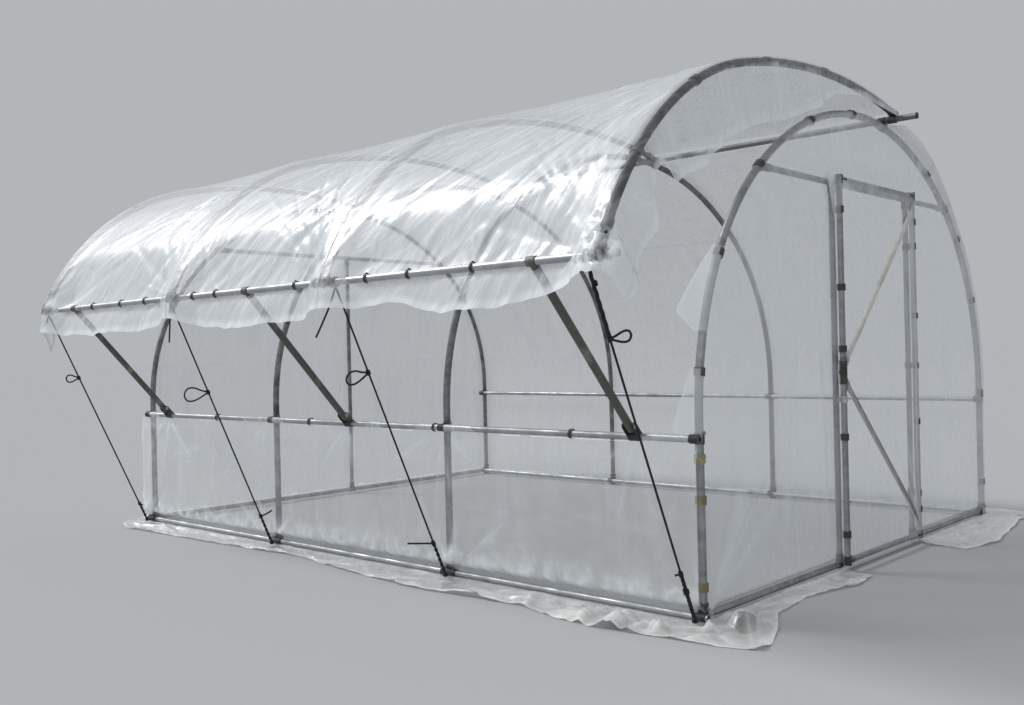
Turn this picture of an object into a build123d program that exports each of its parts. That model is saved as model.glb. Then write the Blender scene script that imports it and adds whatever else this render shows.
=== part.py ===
from build123d import *
import os
from math import asin, cos, degrees, radians, sin, sqrt

os.makedirs("parts", exist_ok=True)

# Sizes of the tunnel, in millimetres
length = 4000
bays = 3
half_width = 1500
leg_height = 760
haunch_inset = 270
haunch_turn = 51.1
quarter_turn = 90
ridge_offset = 218
ridge_overhang = 165
plug_thickness = 6
plug_lip = 1
rail_height = 680
base_height = 30
bar_drop = 345.3
film = 3
front_film_drop = 8
gable_film_lift = 12

# Tubes
hoop_tube = 16
ridge_tube_radius = 14.5
rail_tube = 13.5
eave_tube_radius = 14.5
strut_tube = 16
touch = 0.3
sleeve_room = 0.4

# Clamps
clamp_wall = 4
socket_wall = 3.5
clamp_length = 2 * (hoop_tube + clamp_wall)
socket_reach = 48
socket_floor = 4
socket_height = 78
bend_room = 1.2

# Ring eyes and ropes
eye_wire = 2.5
eye_stem_radius = 3.5
eye_ring = 11
eye_stem = 22
eye_offsets = (20, 60, 60, 60)
rope_top_offsets = (-29, 59, 21, 0)
rope_radius = 3.5

# Flap that opens about the ridge tube
flap_rise = 11.2
flap_crown_radius = 3383
flap_crown_turn = 24.6
flap_haunch_radius = 1332
flap_haunch_turn = 53.4
arc_offset = 50
arc_tail = 36
film_tail = 48
valance_bend = 40
valance_drop = 62
film_overhang = 60
eave_overhang = 30

# Struts that prop the flap
strut_inset = 265
strut_rest_gap = 8
ear_thickness = 4
ear_gap = 6
ear_width = 30
ear_reach = 58

# Door
latch_stile_y = -384
hinge_stile_y = 440
latch_post_y = -365
far_post_y = 65
door_bottom = 40
door_lap = 22
door_gap = 5
brace_height = 890
brace_tube = 11
brace_corner = 75
brace_spread = 24
knuckle_radius = 7
knuckle_height = 14
knuckle_gap = 1
pin_radius = 3
pin_clearance = 0.06
hinge_heights = (260, 900, 1500)
collar_height = 30
arm_thickness = 4
latch_height = 770
latch_length = 64
latch_thickness = 5
latch_width = 15

# Film that lies on the ground
front_skirt = 250
gable_skirt = 330
skirt_gap = 0.3

# Worked out from the sizes above
bay = length / bays
hoop_places = [length / 2 - bay * number for number in range(bays + 1)]
strut_places = (hoop_places[0] - strut_inset, 0, hoop_places[-1] + strut_inset)
haunch_radius = half_width - haunch_inset
crown_radius = haunch_radius + haunch_inset / cos(radians(haunch_turn))
crown_turn = quarter_turn - haunch_turn
crown_centre = leg_height - (crown_radius - haunch_radius) * sin(radians(haunch_turn))
bar_height = crown_centre + crown_radius - bar_drop
door_top = bar_height + door_lap
clamp_radius = hoop_tube + clamp_wall
film_seat = clamp_radius + touch
ridge_ring = crown_radius + hoop_tube + ridge_tube_radius + touch
ridge_height = crown_centre + sqrt(ridge_ring**2 - ridge_offset**2)
rail_y = half_width + hoop_tube + rail_tube + touch
inner_rail_y = half_width - hoop_tube - rail_tube - touch
front_film_y = rail_y + rail_tube + clamp_wall + touch
gable_film_x = length / 2 + film_seat
foot_height = socket_floor + touch
door_x = gable_film_x + film + door_gap + rail_tube + clamp_wall
hinge_y = hinge_stile_y + rail_tube + clamp_wall + knuckle_radius + door_gap
arc_places = (
    hoop_places[0] + arc_offset,
    hoop_places[1] - arc_offset,
    hoop_places[2] + arc_offset,
    hoop_places[3] - arc_offset,
)

# Flap line: it starts over the ridge tube and ends at the eave
arc_lift = ridge_tube_radius + hoop_tube + touch
rise = radians(flap_rise)
arc_seat = (ridge_offset + arc_lift * sin(rise), ridge_height + arc_lift * cos(rise))
fall = radians(flap_crown_turn - flap_rise)
drop = radians(flap_crown_turn + flap_haunch_turn - flap_rise)
crown_run = flap_crown_radius * (sin(rise) + sin(fall))
crown_fall = flap_crown_radius * (cos(rise) - cos(fall))
haunch_run = flap_haunch_radius * (sin(drop) - sin(fall))
haunch_fall = flap_haunch_radius * (cos(fall) - cos(drop))
arc_end = (arc_seat[0] - crown_run - haunch_run, arc_seat[1] - crown_fall - haunch_fall)
eave_lift = hoop_tube + eave_tube_radius + touch
eave_y = arc_end[0] + eave_lift * sin(drop)
eave_z = arc_end[1] - eave_lift * cos(drop)

# The origin lies under the middle of the whole outline
film_edge = film_seat + film
bend_reach = (valance_bend + film / 2) * (1 - sin(drop))
front_reach = -arc_end[0] + film_edge * sin(drop) + film_tail * cos(drop) + bend_reach
back_reach = half_width + film_edge + front_skirt
middle = (front_reach - back_reach) / 2


def across(x):
    """Upright plane across the tunnel: first measure to the back, second up."""
    return Plane(origin=(x, middle, 0), x_dir=(0, 1, 0), z_dir=(1, 0, 0))


def along(y):
    """Upright plane along the tunnel, seen from the front."""
    return Plane(origin=(0, middle + y, 0), x_dir=(1, 0, 0), z_dir=(0, -1, 0))


def level(z):
    """Level plane at a height."""
    return Plane(origin=(0, middle, z), x_dir=(1, 0, 0), z_dir=(0, 0, 1))


def spot(x, y, z):
    """Point in the tunnel's own measures."""
    return Vector(x, middle + y, z)


def rod(start, end, radius):
    """Round bar between two points."""
    with BuildPart() as bar:
        with BuildSketch(Plane(origin=start, z_dir=end - start)):
            Circle(radius)
        extrude(amount=(end - start).length)
    return bar.part


def reach(point, direction, amount):
    """Point at a distance along a direction."""
    return point + direction.normalized() * amount


def cross_clamp(first, first_way, first_tube, second, second_way, second_tube):
    """Clamp with one sleeve round each of two crossing tubes."""
    half = clamp_length / 2
    runs = ((first, first_way, first_tube), (second, second_way, second_tube))
    with BuildPart() as clamp:
        for point, way, tube in runs:
            add(rod(reach(point, way, -half), reach(point, way, half), tube + clamp_wall))
        for point, way, tube in runs:
            start = reach(point, way, -clamp_length)
            end = reach(point, way, clamp_length)
            add(rod(start, end, tube + touch), mode=Mode.SUBTRACT)
    return clamp.part


def tee_clamp(point, way, tube, branch, branch_tube, socket=socket_reach, room=touch):
    """Clamp with a sleeve round one tube and a socket for a tube that ends at it."""
    half = clamp_length / 2
    start = reach(point, way, -2 * clamp_length)
    end = reach(point, way, 2 * clamp_length)
    with BuildPart() as clamp:
        add(rod(point, reach(point, branch, socket), branch_tube + socket_wall))
        add(rod(start, end, tube + room), mode=Mode.SUBTRACT)
        add(rod(reach(point, way, -half), reach(point, way, half), tube + clamp_wall))
        add(rod(start, end, tube + sleeve_room), mode=Mode.SUBTRACT)
        far = reach(point, branch, socket + clamp_length)
        add(rod(point, far, branch_tube + touch), mode=Mode.SUBTRACT)
    return clamp.part


def hoop_run(x, foot, radius):
    """Round tube along a whole hoop: straight legs, tight haunches and a wide crown."""
    with BuildPart() as run:
        with BuildLine(across(x)):
            leg = Line((-half_width, foot), (-half_width, leg_height))
            left = JernArc(leg @ 1, leg % 1, haunch_radius, -haunch_turn)
            crown = JernArc(left @ 1, left % 1, crown_radius, -2 * crown_turn)
            right = JernArc(crown @ 1, crown % 1, haunch_radius, -haunch_turn)
            Line(right @ 1, (half_width, foot))
        with BuildSketch(Plane(origin=spot(x, -half_width, foot), z_dir=(0, 0, 1))):
            Circle(radius)
        sweep()
    return run.part


# Hoops, each bent from one tube
for number, x in enumerate(hoop_places, start=1):
    with BuildPart() as hoop:
        add(hoop_run(x, foot_height, hoop_tube))
    hoop.part.label = f"hoop_{number}"
    export_step(hoop.part, f"parts/hoop_{number}.step")

# Ridge tube on top of the hoops, a little behind the middle
ridge_end = length / 2 + ridge_overhang
with BuildPart() as ridge_tube:
    with BuildSketch(across(-ridge_end)):
        with Locations((ridge_offset, ridge_height)):
            Circle(ridge_tube_radius)
    extrude(amount=2 * ridge_end)
ridge_tube.part.label = "ridge_tube"
export_step(ridge_tube.part, "parts/ridge_tube.step")

# Clamps between the ridge tube and each hoop
ridge_seat = ridge_offset * crown_radius / ridge_ring
ridge_seat_height = crown_centre + sqrt(crown_radius**2 - ridge_seat**2)
ridge_slope = Vector(0, ridge_seat_height - crown_centre, -ridge_seat)
with BuildPart() as ridge_clamps:
    for x in hoop_places:
        add(
            cross_clamp(
                spot(x, ridge_seat, ridge_seat_height),
                ridge_slope,
                hoop_tube,
                spot(x, ridge_offset, ridge_height),
                Vector(1, 0, 0),
                ridge_tube_radius,
            )
        )
ridge_clamps.part.label = "ridge_clamps"
export_step(ridge_clamps.part, "parts/ridge_clamps.step")

# Waist rails: outside the hoops at the open front, inside them at the back
rail_end = length / 2 + clamp_length / 2
for name, y in (("front_rail", -rail_y), ("back_rail", inner_rail_y)):
    with BuildPart() as rail:
        with BuildSketch(across(-rail_end)):
            with Locations((y, rail_height)):
                Circle(rail_tube)
        extrude(amount=2 * rail_end)
    rail.part.label = name
    export_step(rail.part, f"parts/{name}.step")

with BuildPart() as rail_clamps:
    for x in hoop_places:
        for leg_y, y in ((-half_width, -rail_y), (half_width, inner_rail_y)):
            leg_point = spot(x, leg_y, rail_height)
            rail_point = spot(x, y, rail_height)
            add(cross_clamp(leg_point, Vector(0, 0, 1), hoop_tube, rail_point, Vector(1, 0, 0), rail_tube))
rail_clamps.part.label = "rail_clamps"
export_step(rail_clamps.part, "parts/rail_clamps.step")

# Base tubes along the front and the back
base_end = length / 2 + eye_offsets[0] + clamp_length / 2
with BuildPart() as base_tubes:
    for y, end in ((-rail_y, base_end), (inner_rail_y, rail_end)):
        with BuildSketch(across(-end)):
            with Locations((y, base_height)):
                Circle(rail_tube)
        extrude(amount=2 * end)
base_tubes.part.label = "base_tubes"
export_step(base_tubes.part, "parts/base_tubes.step")


def foot(x, leg_y, tube_y, eye_offset):
    """Closed socket that a hoop stands in, with a sleeve round the base tube beside it."""
    sleeve_start = -clamp_length / 2
    sleeve_end = max(clamp_length / 2, eye_offset + clamp_length / 4)
    with BuildPart() as socket:
        with BuildSketch(level(0)):
            with Locations((x, leg_y)):
                Circle(clamp_radius)
        extrude(amount=socket_height)
        start = spot(x + sleeve_start, tube_y, base_height)
        end = spot(x + sleeve_end, tube_y, base_height)
        add(rod(start, end, rail_tube + clamp_wall))
        if eye_offset:
            stem = spot(x + eye_offset, tube_y - rail_tube, base_height)
            ring = stem - Vector(0, eye_stem + eye_ring, 0)
            add(rod(stem, stem - Vector(0, eye_stem, 0), eye_stem_radius))
            with BuildSketch(Plane(origin=ring + Vector(eye_ring, 0, 0), x_dir=(1, 0, 1), z_dir=(0, 1, 0))):
                Circle(eye_wire)
            revolve(axis=Axis(ring, (0, 0, 1)))
        with BuildSketch(level(foot_height - touch)):
            with Locations((x, leg_y)):
                Circle(hoop_tube + touch)
        extrude(amount=socket_height, mode=Mode.SUBTRACT)
        bore_start = spot(x - 2 * clamp_length, tube_y, base_height)
        bore_end = spot(x + 2 * clamp_length, tube_y, base_height)
        add(rod(bore_start, bore_end, rail_tube + touch), mode=Mode.SUBTRACT)
    return socket.part


with BuildPart() as base_clamps:
    for x, eye_offset in zip(hoop_places, eye_offsets):
        add(foot(x, -half_width, -rail_y, eye_offset))
        add(foot(x, half_width, inner_rail_y, 0))
base_clamps.part.label = "base_clamps"
export_step(base_clamps.part, "parts/base_clamps.step")

# Tubes across both gables, at the ground and over the door
gable_front_end = -(half_width - clamp_radius - touch)
gable_back_end = inner_rail_y - rail_tube - clamp_wall - touch
with BuildPart() as gable_base_tubes:
    for x in (hoop_places[0], hoop_places[-1]):
        add(rod(spot(x, gable_front_end, base_height), spot(x, gable_back_end, base_height), rail_tube))
gable_base_tubes.part.label = "gable_base_tubes"
export_step(gable_base_tubes.part, "parts/gable_base_tubes.step")

bar_rise = bar_height - crown_centre
bar_y = sqrt(crown_radius**2 - bar_rise**2)
slope_up = bar_rise / crown_radius
slope_out = bar_y / crown_radius
bar_end = bar_y - (hoop_tube + rail_tube * slope_up + 2 * touch) / slope_out
with BuildPart() as gable_bars:
    for x in (hoop_places[0], hoop_places[-1]):
        add(rod(spot(x, -bar_end, bar_height), spot(x, bar_end, bar_height), rail_tube))
gable_bars.part.label = "gable_bars"
export_step(gable_bars.part, "parts/gable_bars.step")

# Upright posts between the base tube and the bar
post_foot = base_height + rail_tube + touch
post_head = bar_height - rail_tube - touch
posts = (
    ("latch_post", hoop_places[0], latch_post_y),
    ("hinge_post", hoop_places[0], hinge_y),
    ("far_post", hoop_places[-1], far_post_y),
)
for name, x, y in posts:
    with BuildPart() as post:
        with BuildSketch(level(post_foot)):
            with Locations((x, y)):
                Circle(rail_tube)
        extrude(amount=post_head - post_foot)
    post.part.label = name
    export_step(post.part, f"parts/{name}.step")

with BuildPart() as gable_clamps:
    for x in (hoop_places[0], hoop_places[-1]):
        for side in (-1, 1):
            way = Vector(0, side * slope_up, -slope_out)
            point = spot(x, side * bar_y, bar_height)
            socket = bar_y - bar_end + clamp_length
            add(tee_clamp(point, way, hoop_tube, Vector(0, -side, 0), rail_tube, socket, bend_room))
    for name, x, y in posts:
        add(tee_clamp(spot(x, y, base_height), Vector(0, 1, 0), rail_tube, Vector(0, 0, 1), rail_tube))
        add(tee_clamp(spot(x, y, bar_height), Vector(0, 1, 0), rail_tube, Vector(0, 0, -1), rail_tube))
gable_clamps.part.label = "gable_clamps"
export_step(gable_clamps.part, "parts/gable_clamps.step")

# Back film: from behind the ridge tube down over the hoops to the ground
film_lift = film_seat + film / 2
back_start = degrees(asin((ridge_offset + ridge_tube_radius + 2 * clamp_wall) / (crown_radius + film_lift)))
cover_end = gable_film_x + film
with BuildPart() as back_film:
    with BuildSketch(across(-cover_end)):
        with BuildLine():
            turn = quarter_turn - back_start
            top = CenterArc((0, crown_centre), crown_radius + film_lift, turn, back_start - crown_turn)
            side = JernArc(top @ 1, top % 1, haunch_radius + film_lift, -haunch_turn)
            Line(side @ 1, (half_width + film_lift, film + skirt_gap))
        trace(line_width=film)
    extrude(amount=2 * cover_end)
back_film.part.label = "back_film"
export_step(back_film.part, "parts/back_film.step")

# Low film wall at the front, hung from the waist rail, with a hole for each ring eye
front_film_end = base_end + clamp_wall
front_film_top = rail_height - front_film_drop
front_film_foot = film + skirt_gap
with BuildPart() as front_film:
    with BuildSketch(along(-front_film_y)):
        with Locations((0, (front_film_top + front_film_foot) / 2)):
            Rectangle(2 * front_film_end, front_film_top - front_film_foot)
        for x, eye_offset in zip(hoop_places, eye_offsets):
            with Locations((x + eye_offset, base_height)):
                Circle(eye_stem_radius + 2 * touch, mode=Mode.SUBTRACT)
    extrude(amount=film)
front_film.part.label = "front_film"
export_step(front_film.part, "parts/front_film.step")


def gable_sheet(x, keep):
    """Upright film cut to the hoop's outline, kept inside one rectangle of it."""
    low_y, high_y, low_z, high_z = keep
    with BuildPart() as sheet:
        with BuildSketch(across(x)):
            with BuildLine():
                side = half_width + gable_film_lift
                leg = Line((-side, film + skirt_gap), (-side, leg_height))
                left = JernArc(leg @ 1, leg % 1, haunch_radius + gable_film_lift, -haunch_turn)
                crown = JernArc(left @ 1, left % 1, crown_radius + gable_film_lift, -2 * crown_turn)
                right = JernArc(crown @ 1, crown % 1, haunch_radius + gable_film_lift, -haunch_turn)
                Polyline(right @ 1, (side, film + skirt_gap), leg @ 0)
            make_face()
            with Locations(((low_y + high_y) / 2, (low_z + high_z) / 2)):
                Rectangle(high_y - low_y, high_z - low_z, mode=Mode.INTERSECT)
        extrude(amount=film)
    return sheet.part


far_side = 2 * half_width
roof = 2 * crown_radius
film_right_start = hinge_y + rail_tube + clamp_wall + touch
sheets = (
    ("gable_film_left", gable_film_x, (-far_side, latch_post_y, 0, bar_height)),
    ("gable_film_right", gable_film_x, (film_right_start, far_side, 0, bar_height)),
    ("gable_film_top", gable_film_x, (-far_side, far_side, bar_height + touch, roof)),
    ("far_gable_film", -gable_film_x - film, (-far_side, far_side, 0, roof)),
)
for name, x, keep in sheets:
    sheet = gable_sheet(x, keep)
    sheet.label = name
    export_step(sheet, f"parts/{name}.step")

# Film that lies on the ground round the foot, open at the doorway
with BuildPart() as ground_skirt:
    with BuildSketch(level(0)):
        outer_x = gable_film_x + gable_skirt
        front_y = front_film_y + front_skirt
        back_y = back_reach
        inner_x = gable_film_x
        with Locations((0, (back_y - front_y) / 2)):
            Rectangle(2 * outer_x, back_y + front_y)
        with Locations((0, (half_width + film_seat - front_film_y) / 2)):
            Rectangle(2 * inner_x, half_width + film_seat + front_film_y, mode=Mode.SUBTRACT)
        with Locations((outer_x, (latch_post_y + film_right_start) / 2)):
            Rectangle(2 * gable_skirt, film_right_start - latch_post_y, mode=Mode.SUBTRACT)
    extrude(amount=film)
ground_skirt.part.label = "ground_skirt"
export_step(ground_skirt.part, "parts/ground_skirt.step")


def flap_line(plane, lift, tail_back, tail_front):
    """Flap line raised by an amount: a short tail, the crown, the haunch and a straight end."""
    seat_y = arc_seat[0] + lift * sin(rise)
    seat_z = arc_seat[1] + lift * cos(rise)
    tail_y = seat_y + tail_back * cos(rise)
    tail_z = seat_z - tail_back * sin(rise)
    with BuildLine(plane) as line:
        tail = Line((tail_y, tail_z), (seat_y, seat_z))
        crown = JernArc(tail @ 1, tail % 1, flap_crown_radius + lift, flap_crown_turn)
        haunch = JernArc(crown @ 1, crown % 1, flap_haunch_radius + lift, flap_haunch_turn)
        Line(haunch @ 1, (haunch @ 1) + (haunch % 1) * tail_front)
    return line.line


# Flap arcs beside the hoops, each bent from one tube
for number, x in enumerate(arc_places, start=1):
    route = flap_line(across(x), 0, arc_tail, arc_tail)
    with BuildPart() as flap_arc:
        with BuildSketch(Plane(origin=route @ 0, z_dir=route % 0)):
            Circle(hoop_tube)
        sweep(path=route)
    flap_arc.part.label = f"flap_arc_{number}"
    export_step(flap_arc.part, f"parts/flap_arc_{number}.step")

# Eave tube under the ends of the arcs
eave_end = arc_places[0] + clamp_length / 2 + eave_overhang
with BuildPart() as eave_tube:
    with BuildSketch(across(-eave_end)):
        with Locations((eave_y, eave_z)):
            Circle(eave_tube_radius)
    extrude(amount=2 * eave_end)
eave_tube.part.label = "eave_tube"
export_step(eave_tube.part, "parts/eave_tube.step")

# Clamps that turn on the ridge tube and hold the arcs, and clamps at the eave
with BuildPart() as flap_hinges:
    for x in arc_places:
        add(
            cross_clamp(
                spot(x, *arc_seat),
                Vector(0, -cos(rise), sin(rise)),
                hoop_tube,
                spot(x, ridge_offset, ridge_height),
                Vector(1, 0, 0),
                ridge_tube_radius,
            )
        )
flap_hinges.part.label = "flap_hinges"
export_step(flap_hinges.part, "parts/flap_hinges.step")

with BuildPart() as eave_clamps:
    for x in arc_places:
        add(
            cross_clamp(
                spot(x, *arc_end),
                Vector(0, cos(drop), sin(drop)),
                hoop_tube,
                spot(x, eave_y, eave_z),
                Vector(1, 0, 0),
                eave_tube_radius,
            )
        )
eave_clamps.part.label = "eave_clamps"
export_step(eave_clamps.part, "parts/eave_clamps.step")

# Flap film over the arcs, with a short valance below the eave
film_end = arc_places[0] + hoop_tube + film_overhang
with BuildPart() as flap_film:
    with BuildSketch(across(-film_end)):
        with BuildLine():
            cover = flap_line(Plane.XY, film_lift, arc_tail + clamp_wall, film_tail)
            add(cover)
            bend = JernArc(cover @ 1, cover % 1, valance_bend, quarter_turn - degrees(drop))
            Line(bend @ 1, (bend @ 1) + (bend % 1) * valance_drop)
        trace(line_width=film)
    extrude(amount=2 * film_end)
flap_film.part.label = "flap_film"
export_step(flap_film.part, "parts/flap_film.step")

# Struts: each turns on the eave tube and rests over the front rail
rail_point = Vector(0, -rail_y, rail_height)
eave_point = Vector(0, eave_y, eave_z)
strut_way = (rail_point - eave_point).normalized()
saddle_radius = rail_tube + clamp_wall
strut_length = (rail_point - eave_point).length - saddle_radius - strut_rest_gap - strut_tube
for number, x in enumerate(strut_places, start=1):
    top = spot(x, eave_y, eave_z)
    foot_point = top + strut_way * strut_length
    half = Vector(clamp_length / 2, 0, 0)
    with BuildPart() as strut:
        add(rod(top - half, top + half, eave_tube_radius + clamp_wall))
        add(rod(top, foot_point, strut_tube))
        with Locations(foot_point):
            Sphere(strut_tube)
        add(rod(top - half * 2, top + half * 2, eave_tube_radius + touch), mode=Mode.SUBTRACT)
    strut.part.label = f"strut_{number}"
    export_step(strut.part, f"parts/strut_{number}.step")

# Saddles on the front rail, with an ear on each side of the strut's foot
with BuildPart() as strut_saddles:
    for x in strut_places:
        centre = spot(x, -rail_y, rail_height)
        half = Vector(strut_tube + ear_gap + ear_thickness, 0, 0)
        add(rod(centre - half, centre + half, saddle_radius))
        for side in (-1, 1):
            inner = side * (strut_tube + ear_gap)
            ear = Plane(origin=centre + Vector(inner, 0, 0), x_dir=-strut_way, z_dir=(side, 0, 0))
            with BuildSketch(ear):
                with Locations((ear_reach / 2, 0)):
                    SlotOverall(ear_reach + ear_width, ear_width)
            extrude(amount=ear_thickness)
        add(rod(centre - half * 2, centre + half * 2, rail_tube + touch), mode=Mode.SUBTRACT)
strut_saddles.part.label = "strut_saddles"
export_step(strut_saddles.part, "parts/strut_saddles.step")

# Ropes from the eave down to the ring eyes
with BuildPart() as ropes:
    for x, top_offset, eye_offset in zip(hoop_places, rope_top_offsets, eye_offsets):
        wire_y = -rail_y - rail_tube - eye_stem - 2 * eye_ring
        low = spot(x + eye_offset, wire_y, base_height)
        high = spot(x + top_offset, eave_y, eave_z)
        way = (low - high).normalized()
        add(rod(high + way * (eave_tube_radius + touch), low - way * (eye_wire + touch), rope_radius))
ropes.part.label = "ropes"
export_step(ropes.part, "parts/ropes.step")

# Door leaf: stiles, rails and two braces that meet at the latch side
rail_low = door_bottom + rail_tube
rail_high = door_top - rail_tube
with BuildPart() as door_frame:
    for y in (latch_stile_y, hinge_stile_y):
        add(rod(spot(door_x, y, door_bottom), spot(door_x, y, door_top), rail_tube))
    for z in (rail_low, rail_high):
        start = spot(door_x, latch_stile_y + rail_tube + touch, z)
        end = spot(door_x, hinge_stile_y - rail_tube - touch, z)
        add(rod(start, end, rail_tube))
door_frame.part.label = "door_frame"
export_step(door_frame.part, "parts/door_frame.step")

latch_node = spot(door_x, latch_stile_y, brace_height)
stile_low = spot(door_x, hinge_stile_y, rail_low + brace_corner)
stile_high = spot(door_x, hinge_stile_y, rail_high - brace_corner)
spread = Vector(0, 0, brace_spread)
brace_runs = ((latch_node - spread, stile_low), (latch_node + spread, stile_high))
with BuildPart() as door_braces:
    for start, end in brace_runs:
        add(rod(start, end, brace_tube))
    for y in (latch_stile_y, hinge_stile_y):
        low = spot(door_x, y, door_bottom)
        high = spot(door_x, y, door_top)
        add(rod(low, high, rail_tube + touch), mode=Mode.SUBTRACT)
door_braces.part.label = "door_braces"
export_step(door_braces.part, "parts/door_braces.step")

# Door connectors: one at each corner, and one where the braces meet
with BuildPart() as door_connectors:
    for z in (rail_low, rail_high):
        for y, side in ((latch_stile_y, 1), (hinge_stile_y, -1)):
            corner = spot(door_x, y, z)
            add(tee_clamp(corner, Vector(0, 0, 1), rail_tube, Vector(0, side, 0), rail_tube))
    half = spread * 2 + Vector(0, 0, clamp_wall)
    add(rod(latch_node - half, latch_node + half, rail_tube + clamp_wall))
    for start, end in brace_runs:
        add(rod(start, reach(start, end - start, socket_reach), brace_tube + clamp_wall))
    add(rod(latch_node - half * 2, latch_node + half * 2, rail_tube + touch), mode=Mode.SUBTRACT)
    for start, end in brace_runs:
        add(rod(start, end, brace_tube + touch), mode=Mode.SUBTRACT)
door_connectors.part.label = "door_connectors"
export_step(door_connectors.part, "parts/door_connectors.step")

# Film over the outside of the door leaf
door_film_x = door_x + rail_tube + clamp_wall + touch
with BuildPart() as door_film:
    with BuildSketch(across(door_film_x)):
        with Locations(((latch_stile_y + hinge_stile_y) / 2, (door_bottom + door_top) / 2)):
            Rectangle(hinge_stile_y - latch_stile_y + rail_tube, door_top - door_bottom)
    extrude(amount=film)
door_film.part.label = "door_film"
export_step(door_film.part, "parts/door_film.step")


def block(low, high):
    """Upright box between two corners."""
    size = high - low
    with BuildPart() as box:
        with Locations((low + high) / 2):
            Box(size.X, size.Y, size.Z)
    return box.part


def hinge_half(post, axle, height, low, high, pin):
    """Half a hinge: a collar round its tube, an arm, and a knuckle with a pin or a bore."""
    lift = Vector(0, 0, 1)
    collar = Vector(0, 0, collar_height / 2)
    thick = Vector(arm_thickness / 2, arm_thickness / 2, 0)
    arm_low = Vector(min(post.X, axle.X), min(post.Y, axle.Y), height + low) - thick
    arm_high = Vector(max(post.X, axle.X), max(post.Y, axle.Y), height + high) + thick
    with BuildPart() as half_hinge:
        add(rod(post - collar, post + collar, rail_tube + clamp_wall))
        add(rod(axle + lift * low, axle + lift * high, knuckle_radius))
        add(block(arm_low, arm_high))
        add(rod(post - collar * 2, post + collar * 2, rail_tube + touch), mode=Mode.SUBTRACT)
        ends = (axle - lift * knuckle_height, axle + lift * knuckle_height)
        if pin:
            add(rod(*ends, pin_radius))
        else:
            add(rod(*ends, pin_radius + pin_clearance), mode=Mode.SUBTRACT)
    return half_hinge.part


with BuildPart() as door_hinge_brackets:
    for z in hinge_heights:
        post = spot(length / 2, hinge_y, z)
        axle = spot(door_x, hinge_y, z)
        add(hinge_half(post, axle, z, -knuckle_height, -knuckle_gap / 2, True))
door_hinge_brackets.part.label = "door_hinge_brackets"
export_step(door_hinge_brackets.part, "parts/door_hinge_brackets.step")

with BuildPart() as door_hinge_leaves:
    for z in hinge_heights:
        post = spot(door_x, hinge_stile_y, z)
        axle = spot(door_x, hinge_y, z)
        add(hinge_half(post, axle, z, knuckle_gap / 2, knuckle_height, False))
door_hinge_leaves.part.label = "door_hinge_leaves"
export_step(door_hinge_leaves.part, "parts/door_hinge_leaves.step")

# Latch: a collar on the stile with a tongue that lies over the post
with BuildPart() as door_latch:
    stile = spot(door_x, latch_stile_y, latch_height)
    half = Vector(0, 0, collar_height / 2)
    add(rod(stile - half, stile + half, rail_tube + clamp_wall))
    tongue_low = stile + Vector(-latch_thickness / 2, -latch_length, -latch_width / 2)
    tongue_high = stile + Vector(latch_thickness / 2, 0, latch_width / 2)
    add(block(tongue_low, tongue_high))
    add(rod(stile - half * 2, stile + half * 2, rail_tube + touch), mode=Mode.SUBTRACT)
door_latch.part.label = "door_latch"
export_step(door_latch.part, "parts/door_latch.step")

# Plugs that close the open ends of the ridge tube
with BuildPart() as ridge_plugs:
    for side in (-1, 1):
        inner = spot(side * (ridge_end + touch), ridge_offset, ridge_height)
        outer = inner + Vector(side * plug_thickness, 0, 0)
        add(rod(inner, outer, ridge_tube_radius + plug_lip))
ridge_plugs.part.label = "ridge_plugs"
export_step(ridge_plugs.part, "parts/ridge_plugs.step")
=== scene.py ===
import math

import bmesh
import bpy
import numpy as np
from bpy.props import FloatProperty, FloatVectorProperty, PointerProperty
from mathutils import Matrix, Vector, noise


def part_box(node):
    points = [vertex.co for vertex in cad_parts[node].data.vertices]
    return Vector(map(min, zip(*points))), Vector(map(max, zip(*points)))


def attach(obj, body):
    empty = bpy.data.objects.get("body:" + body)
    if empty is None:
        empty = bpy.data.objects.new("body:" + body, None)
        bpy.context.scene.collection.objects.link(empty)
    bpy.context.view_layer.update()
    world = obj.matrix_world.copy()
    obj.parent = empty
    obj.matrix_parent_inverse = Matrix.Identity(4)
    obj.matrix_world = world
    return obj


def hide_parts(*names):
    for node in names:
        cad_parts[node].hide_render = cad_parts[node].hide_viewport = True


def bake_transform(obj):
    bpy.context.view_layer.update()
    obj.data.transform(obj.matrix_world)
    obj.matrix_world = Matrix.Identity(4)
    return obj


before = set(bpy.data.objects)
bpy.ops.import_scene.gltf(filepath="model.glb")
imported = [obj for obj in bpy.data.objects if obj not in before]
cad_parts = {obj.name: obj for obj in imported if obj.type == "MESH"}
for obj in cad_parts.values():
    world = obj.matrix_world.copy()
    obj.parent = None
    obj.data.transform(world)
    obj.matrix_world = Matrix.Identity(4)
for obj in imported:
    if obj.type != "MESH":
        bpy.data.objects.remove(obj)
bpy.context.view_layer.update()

bl_info = {
    "name": "Tunnel Greenhouse",
    "version": (1, 0, 0),
    "blender": (4, 5, 0),
    "location": "View3D > Sidebar > Greenhouse",
    "description": "Films, ropes, clips and finishes of a tunnel greenhouse round its tube frame",
    "category": "Object",
}

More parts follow.
